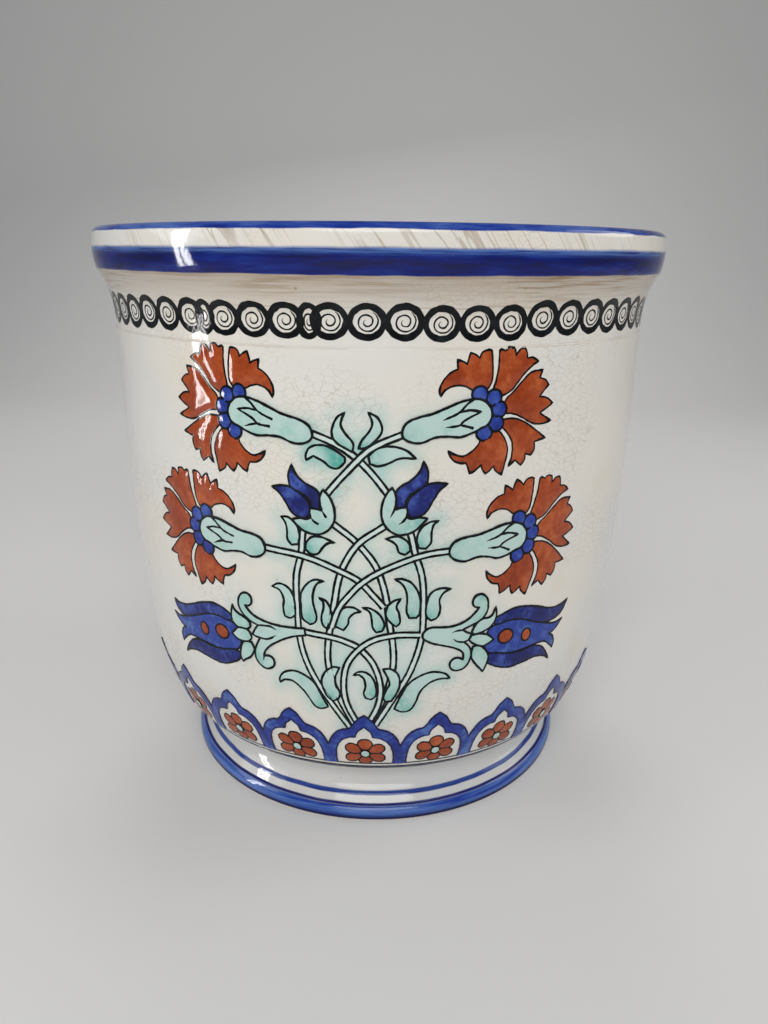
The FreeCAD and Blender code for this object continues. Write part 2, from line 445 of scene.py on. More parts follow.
def makeStandGlaze():
    material, tree, shader, place = newGlaze("standGlaze", glazeFinish["roughness"], glazeFinish["specular"])
    height = axesOf(tree, place)[2]
    # painted shade: the stand's white is mixed towards a greyer white, darker than the pot's
    colour = mixColour(tree, standPaint["shadedWhiteShare"], whiteOf(tree, place), glazeColours["standShadedWhite"])
    # pale level streaks on the bead stand partly for brush strokes and partly for painted highlight lines
    blue = brushedBlue(tree, place, standPaint["stroke"], ("beadBlue", "cobaltPale", "cobaltMid"), 0.6)
    # painted shade on the lower part of the bead
    shade = ramp(tree, height, *inMetres(standPaint["beadShade"]))
    bead = mixColour(tree, shade, blue, glazeColours["cobaltDeep"])
    line = mixColour(tree, 0.55, blue, glazeColours["cobalt"])
    dark = glazeColours["cobalt"]
    for name, wander, paint in (("bead", 0.3, bead), ("thinLine", 0.4, line), ("darkLine", 0.2, dark)):
        colour = mixColour(tree, bandMask(tree, height, standPaint[name], wander, place), colour, paint)
    colour = leaveBare(tree, shader, height, colour, standPaint["bareFoot"])
    specks = speckMask(tree, place, glazeFinish["speckSpacing"])
    colour = tinted(tree, colour, specks, glazeFinish["speckShare"])
    endGlaze(tree, shader, place, colour, glazeFinish["ripple"])
    return material


def makeEnamel(name, plain, thin, deep, tint=None, specular=glazeFinish["specular"]):
    # tint: colour that gathers where the drawing's tint attribute is high
    material, tree, shader, place = newGlaze(name, glazeFinish["enamelRoughness"], specular)
    pooling = placeGroup(tree, brushGroup, {"Vector": place, "Stretch": (1.0, 1.0, 1.0)})
    colour = glazeColours[plain]
    if tint:
        given = addNode(tree, "ShaderNodeAttribute", attribute_name="tint").outputs["Fac"]
        uneven = times(tree, calc(tree, "SUBTRACT", noiseOf(tree, place, 0.006, 3.0), 0.5), 0.5)
        spread = ramp(tree, calc(tree, "ADD", given, uneven), 0.35, 1.05)
        colour = mixColour(tree, spread, colour, glazeColours[tint])
    colour = mixColour(tree, pooling["Thin"], colour, glazeColours[thin])
    colour = tinted(tree, colour, pooling["Pooled"], 0.8, deep)
    endGlaze(tree, shader, place, colour, glazeFinish["enamelRipple"])
    return material


redEnamel = makeEnamel("redEnamel", "red", "redThin", "redDeep")
cobaltEnamel = makeEnamel("cobaltEnamel", "cobalt", "cobaltThin", "cobaltDeep")
arcadeCobaltEnamel = makeEnamel("arcadeCobaltEnamel", "cobaltMid", "cobaltSky", "cobalt")
beadCobaltEnamel = makeEnamel("beadCobaltEnamel", "cobaltMid", "cobaltThin", "cobalt")
heartCobaltEnamel = makeEnamel("heartCobaltEnamel", "cobaltMid", "cobaltSky", "cobaltThin")
turquoiseEnamel = makeEnamel(
    "turquoiseEnamel", "turquoisePale", "turquoisePale", "turquoiseMid", tint="turquoise")
stemEnamel = makeEnamel("stemEnamel", "stemPale", "stemPale", "turquoisePale")
blackLine = makeEnamel("blackLine", "line", "lineThin", "line", specular=glazeFinish["lineSpecular"])
navyLine = makeEnamel("navyLine", "cobaltDeep", "cobalt", "line")
potGlaze = makePotGlaze()
standGlaze = makeStandGlaze()
print("glazes mixed")


# Turned shapes: a station is (radius, height, corner) at the end of a straight line, where corner is the
# length taken off each side of a rounded corner, or (radius, height, corner, bend) at the end of an arc of
# that radius, positive where it bends left on its way

def arcPoints(start, end, bend, spacing):
    chord = end - start
    across = Vector((-chord.y, chord.x)).normalized()
    depth = math.sqrt(max(bend ** 2 - chord.length_squared / 4, 0))
    centre = (start + end) / 2 + across * math.copysign(depth, bend)
    first = start - centre
    sweep = math.copysign(2 * math.asin(min(chord.length / 2 / abs(bend), 1)), bend)
    steps = max(math.ceil(abs(sweep * bend) / spacing), math.ceil(abs(sweep) / 0.16))
    return [centre + Matrix.Rotation(sweep * step / steps, 2) @ first for step in range(steps + 1)]


def straightPoints(start, end, spacing):
    steps = max(1, math.ceil((end - start).length / spacing))
    return [start.lerp(end, step / steps) for step in range(steps + 1)]


def turnedOutline(stations, spacing):
    here = Vector(stations[0][:2])
    line = [here]
    corner = 0.0
    for station in stations[1:]:
        target = Vector(station[:2])
        if len(station) == 4:
            run = arcPoints(here, target, station[3], spacing)
        else:
            run = straightPoints(here, target, spacing)
        if corner:
            before = line[-1] + (line[-2] - line[-1]).normalized() * corner
            after = run[0] + (run[1] - run[0]).normalized() * corner
            line = [point for point in line if (point - here).length > corner]
            run = [point for point in run if (point - here).length > corner]
            for share in (0, 0.25, 0.5, 0.75, 1):
                line.append(before.lerp(here, share).lerp(here.lerp(after, share), share))
            line.extend(run)
        else:
            line.extend(run[1:])
        corner = station[2]
        here = target
    return [(point.x * mm, 0, point.y * mm) for point in line]


def makeLatheTree():
    tree, given, result = newTree("turnOnWheel", "GeometryNodeTree", [
        ("Geometry", "Geometry"), ("Segments", "Int"), ("Sharp Angle", "Float"), ("Material", "Material")],
        [("Geometry", "Geometry")])
    outline = given["Geometry"]
    rows = addNode(tree, "GeometryNodeAttributeDomainSize", {0: outline}).outputs["Point Count"]
    columns = calc(tree, "ADD", given["Segments"], 1)
    grid = addNode(tree, "GeometryNodeMeshGrid", {"Vertices X": columns, "Vertices Y": rows}).outputs["Mesh"]
    index = addNode(tree, "GeometryNodeInputIndex").outputs[0]
    row = calc(tree, "MODULO", index, rows)
    column = calc(tree, "FLOOR", calc(tree, "DIVIDE", calc(tree, "ADD", index, 0.5), rows))
    angle = times(tree, calc(tree, "DIVIDE", column, given["Segments"]), 2 * math.pi)
    position = addNode(tree, "GeometryNodeInputPosition").outputs[0]
    found = {"Geometry": outline, "Index": row}
    sample = addNode(tree, "GeometryNodeSampleIndex", found, data_type="FLOAT_VECTOR")
    tree.links.new(position, sample.inputs["Value"])
    radius, _, height = axesOf(tree, sample.outputs[0])
    turned = joinAxes(tree, times(tree, radius, calc(tree, "COSINE", angle)),
                      times(tree, radius, calc(tree, "SINE", angle)), height)
    moved = onGeometry(tree, "GeometryNodeSetPosition", grid, {"Position": turned})
    closed = onGeometry(tree, "GeometryNodeMergeByDistance", moved, {"Distance": 1e-6})
    return endTree(tree, crispEdges(tree, closed, given["Sharp Angle"]), given, result)


latheTree = makeLatheTree()


def turnPiece(name, shape, material):
    points = turnedOutline(shape["outline"], shape["spacing"])
    piece = newPiece(name, points, [(i, i + 1) for i in range(len(points) - 1)])
    return runTree(piece, latheTree, {
        "Segments": shape["segments"], "Sharp Angle": math.radians(shape["sharpTurn"]), "Material": material})


potShape = {
    "segments": 320,
    "spacing": 2.9,
    "sharpTurn": 38,
    "outline": [
        (0, 33.8, 0), (83.5, 33.8, 0.5), (83.5, 29.8, 0.6), (91.5, 29.8, 0.6), (91.5, 32.8, 0.5),
        (110.2, 32.8, 0.9), (116.9, 42.5, 0, 24.0), (128.0, 90.2, 0, 172.0), (132.5, 195.0, 0, 1227.0),
        (132.5, 232.4, 0.3), (132.0, 232.8, 0.2), (132.15, 233.3, 0.3), (132.15, 237.0, 0),
        (138.7, 258.7, 0.8, -39.0), (139.7, 272.6, 0, 34.0), (135.8, 276.5, 0, 3.95), (129.0, 276.5, 0),
        (126.5, 274.0, 0, 2.5), (126.5, 130.0, 8.0), (104.0, 42.8, 9.0), (0, 42.8, 0)],
}
standShape = {
    "segments": 256,
    "spacing": 1.6,
    "sharpTurn": 38,
    "outline": [
        (0, 21.8, 0), (86.4, 21.8, 1.5), (86.4, 0, 0.8), (105.9, 0, 0), (106.8, 0.9, 0, 0.9),
        (106.8, 2.2, 0), (104.1, 6.9, 0.2, 5.45), (103.2, 6.9, 0.3), (99.95, 10.6, 0.5),
        (95.4, 19.6, 0, -11.3), (95.4, 32.3, 0.6), (92.0, 32.3, 0.6), (92.0, 29.8, 0.5), (0, 29.8, 0)],
}
pot = turnPiece("cachepot_body", potShape, potGlaze)
stand = turnPiece("stand_body", standShape, standGlaze)
print("turned: pot", len(pot.data.polygons), "faces, stand", len(stand.data.polygons), "faces")


# Enamel work, drawn flat: across is measured along the belly from the middle of the spray, height from the
# table, and lift is how far the enamel stands off the glaze

def smoothLine(points, closed, step=0.8, cornerTurn=50):
    # a curve through the points that keeps sharp turns sharp
    knots = [Vector(point) for point in points]
    count = len(knots)

    def knotAt(i):
        return knots[i % count] if closed else knots[min(max(i, 0), count - 1)]

    line = []
    for i in range(count if closed else count - 1):
        around = [knotAt(i + k) for k in (-1, 0, 1, 2)]
        chord = around[2] - around[1]
        slopes = []
        for first, middle, last in (around[:3], around[1:]):
            arriving, leaving = middle - first, last - middle
            bent = arriving.length and leaving.length and arriving.angle(leaving) > math.radians(cornerTurn)
            if bent or not arriving.length or not leaving.length:
                slopes.append(chord)
            else:
                slopes.append((last - first).normalized() * chord.length)
        steps = max(1, math.ceil(chord.length / step))
        for k in range(steps):
            t = k / steps
            line.append((2 * t ** 3 - 3 * t ** 2 + 1) * around[1] + (t ** 3 - 2 * t ** 2 + t) * slopes[0]
                        + (3 * t ** 2 - 2 * t ** 3) * around[2] + (t ** 3 - t ** 2) * slopes[1])
    if not closed:
        line.append(knots[-1])
    return [tuple(point) for point in line]


def mirrored(points):
    return [(-across, height) for across, height in reversed(points)]


def ellipse(across, height, wide, tall, count):
    angles = np.linspace(0, 2 * math.pi, count, endpoint=False)
    return [(across + wide * math.cos(a), height + tall * math.sin(a)) for a in angles]


def nearestGap(points, lines):
    gaps = np.full(len(points), 1e9)
    for line, closed in lines:
        starts = np.array(line)
        ends = np.roll(starts, -1, axis=0)
        if not closed:
            starts, ends = starts[:-1], ends[:-1]
        for start, run in zip(starts, ends - starts):
            share = np.clip(((points - start) @ run) / max(run @ run, 1e-9), 0, 1)
            gaps = np.minimum(gaps, np.linalg.norm(points - start - share[:, None] * run, axis=1))
    return gaps


def insideLoops(points, loops):
    crossings = np.zeros(len(points), int)
    for loop in loops:
        starts = np.array(loop)
        for start, end in zip(starts, np.roll(starts, -1, axis=0)):
            spans = (start[1] > points[:, 1]) != (end[1] > points[:, 1])
            rise = end[1] - start[1] or 1e-12
            across = start[0] + (points[:, 1] - start[1]) / rise * (end[0] - start[0])
            crossings += spans & (points[:, 0] < across)
    return crossings % 2 == 1


enamelBuild = {
    "sink": -0.06,        # enamel edges reach this far under the glaze
    "firstLayer": 0.04,
    "layerStep": 0.06,
    "lineCrown": 0.035,
    "lineLift": 0.02,
    "flatEdge": 0.6,      # level margin under the outlines
    "rowShare": 0.87,     # of the spacing of a sheet's inner points, from row to row
    "clearShare": 0.55,   # of that spacing, kept clear along the outline
    "waver": (23.0, 9.0, 3.7),      # lengths of the waves in a line's width
    "thinnest": 0.18,     # share of the width left at a tapered end
    "trembleScale": 430.0,
    "swayScale": 26.0,
    "sharpTurn": 42,
    "seed": 7,
}


class EnamelSheet:
    def __init__(self):
        self.points = []
        self.faces = []
        self.tints = []

    def level(self, layer):
        return enamelBuild["firstLayer"] + layer * enamelBuild["layerStep"]

    def addPoints(self, places, lifts, tints):
        first = len(self.points)
        for (across, height), lift, tint in zip(places, lifts, tints):
            self.points.append((across * mm, -lift * mm, height * mm))
            self.tints.append(tint)
        return first

    def fill(self, loops, layer, dome, edge, grid=1.5, tintFrom=None, tintDepth=0.0, domeFrom=None):
        # loops: outline first, then openings; the dome rises from the edge inwards
        lines = [(loop, True) for loop in loops]
        rim = np.array([point for loop in loops for point in loop])
        low, high = rim.min(0), rim.max(0)
        spots = []
        row = 0
        height = low[1]
        while height < high[1]:
            across = low[0] + (row % 2) * grid / 2
            while across < high[0]:
                spots.append((across, height))
                across += grid
            row += 1
            height += grid * enamelBuild["rowShare"]
        spots = np.array(spots)
        spots = spots[insideLoops(spots, loops)]
        if len(spots):
            spots = spots[nearestGap(spots, lines) > enamelBuild["clearShare"] * grid]
        edges = []
        first = 0
        for loop in loops:
            edges += [(first + i, first + (i + 1) % len(loop)) for i in range(len(loop))]
            first += len(loop)
        given = [Vector(point) for point in rim] + [Vector(spot) for spot in spots]
        flat, _, triangles, *_ = delaunay_2d_cdt(given, edges, [], 0, 1e-5)
        places = np.array([tuple(point) for point in flat])
        triangles = np.array(triangles)
        triangles = triangles[insideLoops(places[triangles].mean(1), loops)]
        gaps = nearestGap(places, domeFrom or lines)
        rise = np.clip((gaps - enamelBuild["flatEdge"]) / edge, 0, 1)
        lifts = self.level(layer) + dome * rise * (2 - rise)
        tints = np.zeros(len(places))
        if tintFrom is not None:
            far = np.linalg.norm(places - np.array(tintFrom), axis=1)
            tints = tintDepth * far / max(far.max(), 1e-6)
        start = self.addPoints(places, lifts, tints)
        self.faces += [tuple(int(i) + start for i in triangle) for triangle in triangles]

        # the sheet's edge turns down into the glaze
        sides = {}
        for triangle in triangles:
            for a, b in zip(triangle, np.roll(triangle, -1)):
                sides[(int(a), int(b))] = True
        border = [(a, b) for a, b in sides if (b, a) not in sides]
        used = sorted({i for side in border for i in side})
        sunk = self.addPoints(places[used], [enamelBuild["sink"]] * len(used), tints[used])
        below = {i: sunk + k for k, i in enumerate(used)}
        self.faces += [(b + start, a + start, below[a], below[b]) for a, b in border]

    def stroke(self, line, width, layer, closed=False, taper=(0.0, 0.0), crown=None, rough=0.14, seed=0):
        # a painted line: flat sides in the glaze, low ridge on top, width that wavers
        path = np.array(line)
        count = len(path)
        ahead = np.roll(path, -1, axis=0)
        behind = np.roll(path, 1, axis=0)
        if not closed:
            ahead[-1] = path[-1]
            behind[0] = path[0]
        run = ahead - behind
        run /= np.maximum(np.linalg.norm(run, axis=1), 1e-9)[:, None]
        left = np.stack([-run[:, 1], run[:, 0]], axis=1)
        travel = np.concatenate([[0], np.cumsum(np.linalg.norm(np.diff(path, axis=0), axis=1))])
        chance = random.Random(seed)
        waver = np.ones(count)
        for length in enamelBuild["waver"]:
            turns = 2 * math.pi * travel / length
            waver += rough / 1.6 * np.sin(turns + chance.uniform(0, 6.28)) * chance.uniform(0.5, 1.0)
        half = width / 2 * waver
        if not closed:
            for span, gone in zip(taper, (travel, travel[-1] - travel)):
                if span:
                    half = half * np.clip(gone / span, enamelBuild["thinnest"], 1) ** 0.7
        base = self.level(layer) + (enamelBuild["lineLift"] if crown is None else 0.0)
        top = base + (enamelBuild["lineCrown"] if crown is None else crown)
        sink = enamelBuild["sink"]
        places = []
        lifts = []
        for offset, lift in ((-1, sink), (-1, base), (0, top), (1, base), (1, sink)):
            places.append(path + left * (half * offset)[:, None])
            lifts.append(np.full(count, lift))
        places = np.stack(places, axis=1).reshape(-1, 2)
        lifts = np.stack(lifts, axis=1).reshape(-1)
        start = self.addPoints(places, lifts, [0.0] * len(places))
        for i in range(count if closed else count - 1):
            a = start + 5 * i
            b = start + 5 * ((i + 1) % count)
            self.faces += [(a + k, b + k, b + k + 1, a + k + 1) for k in range(4)]
        if not closed:
            self.faces.append(tuple(start + k for k in range(5)))
            self.faces.append(tuple(start + 5 * (count - 1) + k for k in reversed(range(5))))

    def piece(self, name):
        made = newPiece(name, self.points, [], self.faces)
        tint = made.data.attributes.new("tint", "FLOAT", "POINT")
        tint.data.foreach_set("value", np.array(self.tints, np.float32))
        return made


def makeWrapTree():
    # sets copies of flat enamel side by side along the belly, unsteadies them a little like brushwork, and
    # lays them on the turned pot
    tree, given, result = newTree("wrapOnPot", "GeometryNodeTree", [
        ("Geometry", "Geometry"), ("Pot", "Object"), ("Copies", "Int"), ("Pitch", "Float"),
        ("Start", "Vector"), ("Belly", "Float"), ("Turn", "Float"), ("Shift", "Float"), ("Size", "Float"),
        ("Tremble", "Float"), ("Sway", "Float"), ("Seed", "Int"), ("Material", "Material")],
        [("Geometry", "Geometry")])
    row = addNode(tree, "GeometryNodeMeshLine", {
        "Count": given["Copies"], "Start Location": given["Start"],
        "Offset": joinAxes(tree, given["Pitch"])}).outputs[0]

    def chance(seedShift, reach):
        inputs = {"Min": times(tree, reach, -1.0), "Max": reach,
                  "Seed": calc(tree, "ADD", given["Seed"], seedShift)}
        made = addNode(tree, "FunctionNodeRandomValue", data_type="FLOAT")
        sockets = {socket.name: socket for socket in made.inputs if socket.enabled}
        for name, value in inputs.items():
            tree.links.new(value, sockets[name])
        return [socket for socket in made.outputs if socket.enabled][0]

    shift = joinAxes(tree, chance(1, given["Shift"]), 0.0, chance(2, given["Shift"]))
    row = onGeometry(tree, "GeometryNodeSetPosition", row, {"Offset": shift})
    turn = joinAxes(tree, 0.0, chance(3, given["Turn"]))
    turn = addNode(tree, "FunctionNodeEulerToRotation", {0: turn}).outputs[0]
    size = calc(tree, "ADD", chance(4, given["Size"]), 1.0)
    copies = addNode(tree, "GeometryNodeInstanceOnPoints", {
        "Points": row, "Instance": given["Geometry"], "Rotation": turn,
        "Scale": joinAxes(tree, size, 1.0, size)}).outputs[0]
    sheet = onGeometry(tree, "GeometryNodeRealizeInstances", copies)

    position = addNode(tree, "GeometryNodeInputPosition").outputs[0]
    level = vectorCalc(tree, "MULTIPLY", position, (1.0, 0.0, 1.0))
    unsteady = position
    for reach, scale in ((given["Tremble"], enamelBuild["trembleScale"]),
                         (given["Sway"], enamelBuild["swayScale"])):
        waves = {"Vector": level, "Scale": scale, "Detail": 1.0}
        drift = addNode(tree, "ShaderNodeTexNoise", waves).outputs["Color"]
        drift = vectorCalc(tree, "SUBTRACT", drift, (0.5, 0.5, 0.5))
        drift = vectorCalc(tree, "MULTIPLY", drift, (2.0, 0.0, 2.0))
        unsteady = vectorCalc(tree, "ADD", unsteady, scaled(tree, drift, reach))
    across, lift, height = axesOf(tree, unsteady)
    angle = calc(tree, "DIVIDE", across, given["Belly"])
    sine = calc(tree, "SINE", angle)
    cosine = calc(tree, "COSINE", angle)
    far = 0.3  # metres from the axis, well outside the rim
    ground = addNode(tree, "GeometryNodeObjectInfo", {"Object": given["Pot"]}).outputs["Geometry"]
    ray = addNode(tree, "GeometryNodeRaycast", {
        "Target Geometry": ground, "Ray Length": far,
        "Source Position": joinAxes(tree, times(tree, sine, far), times(tree, cosine, -far), height),
        "Ray Direction": joinAxes(tree, times(tree, sine, -1.0), cosine)}).outputs
    raised = scaled(tree, ray["Hit Normal"], times(tree, lift, -1.0))
    laid = vectorCalc(tree, "ADD", ray["Hit Position"], raised)
    sheet = onGeometry(tree, "GeometryNodeSetPosition", sheet, {"Position": laid})
    return endTree(tree, crispEdges(tree, sheet, math.radians(enamelBuild["sharpTurn"])), given, result)


wrapTree = makeWrapTree()
bellyRadius = 132.0  # millimetres, where the drawings' widths are true


def layOnPot(sheet, name, material, copies, pitch, unsteady, start=(0.0, 0.0), jitter=(0.0, 0.0, 0.0)):
    # unsteady: tremble and sway in millimetres; jitter: each copy's chance turn in radians, shift and size
    turn, shift, size = jitter
    return runTree(sheet.piece(name), wrapTree, {
        "Pot": pot, "Copies": copies, "Pitch": pitch * mm, "Start": (start[0] * mm, 0.0, start[1] * mm),
        "Belly": bellyRadius * mm, "Turn": turn, "Shift": shift * mm, "Size": size,
        "Tremble": unsteady[0] * mm, "Sway": unsteady[1] * mm, "Seed": enamelBuild["seed"],
        "Material": material})


girth = 2 * math.pi * bellyRadius

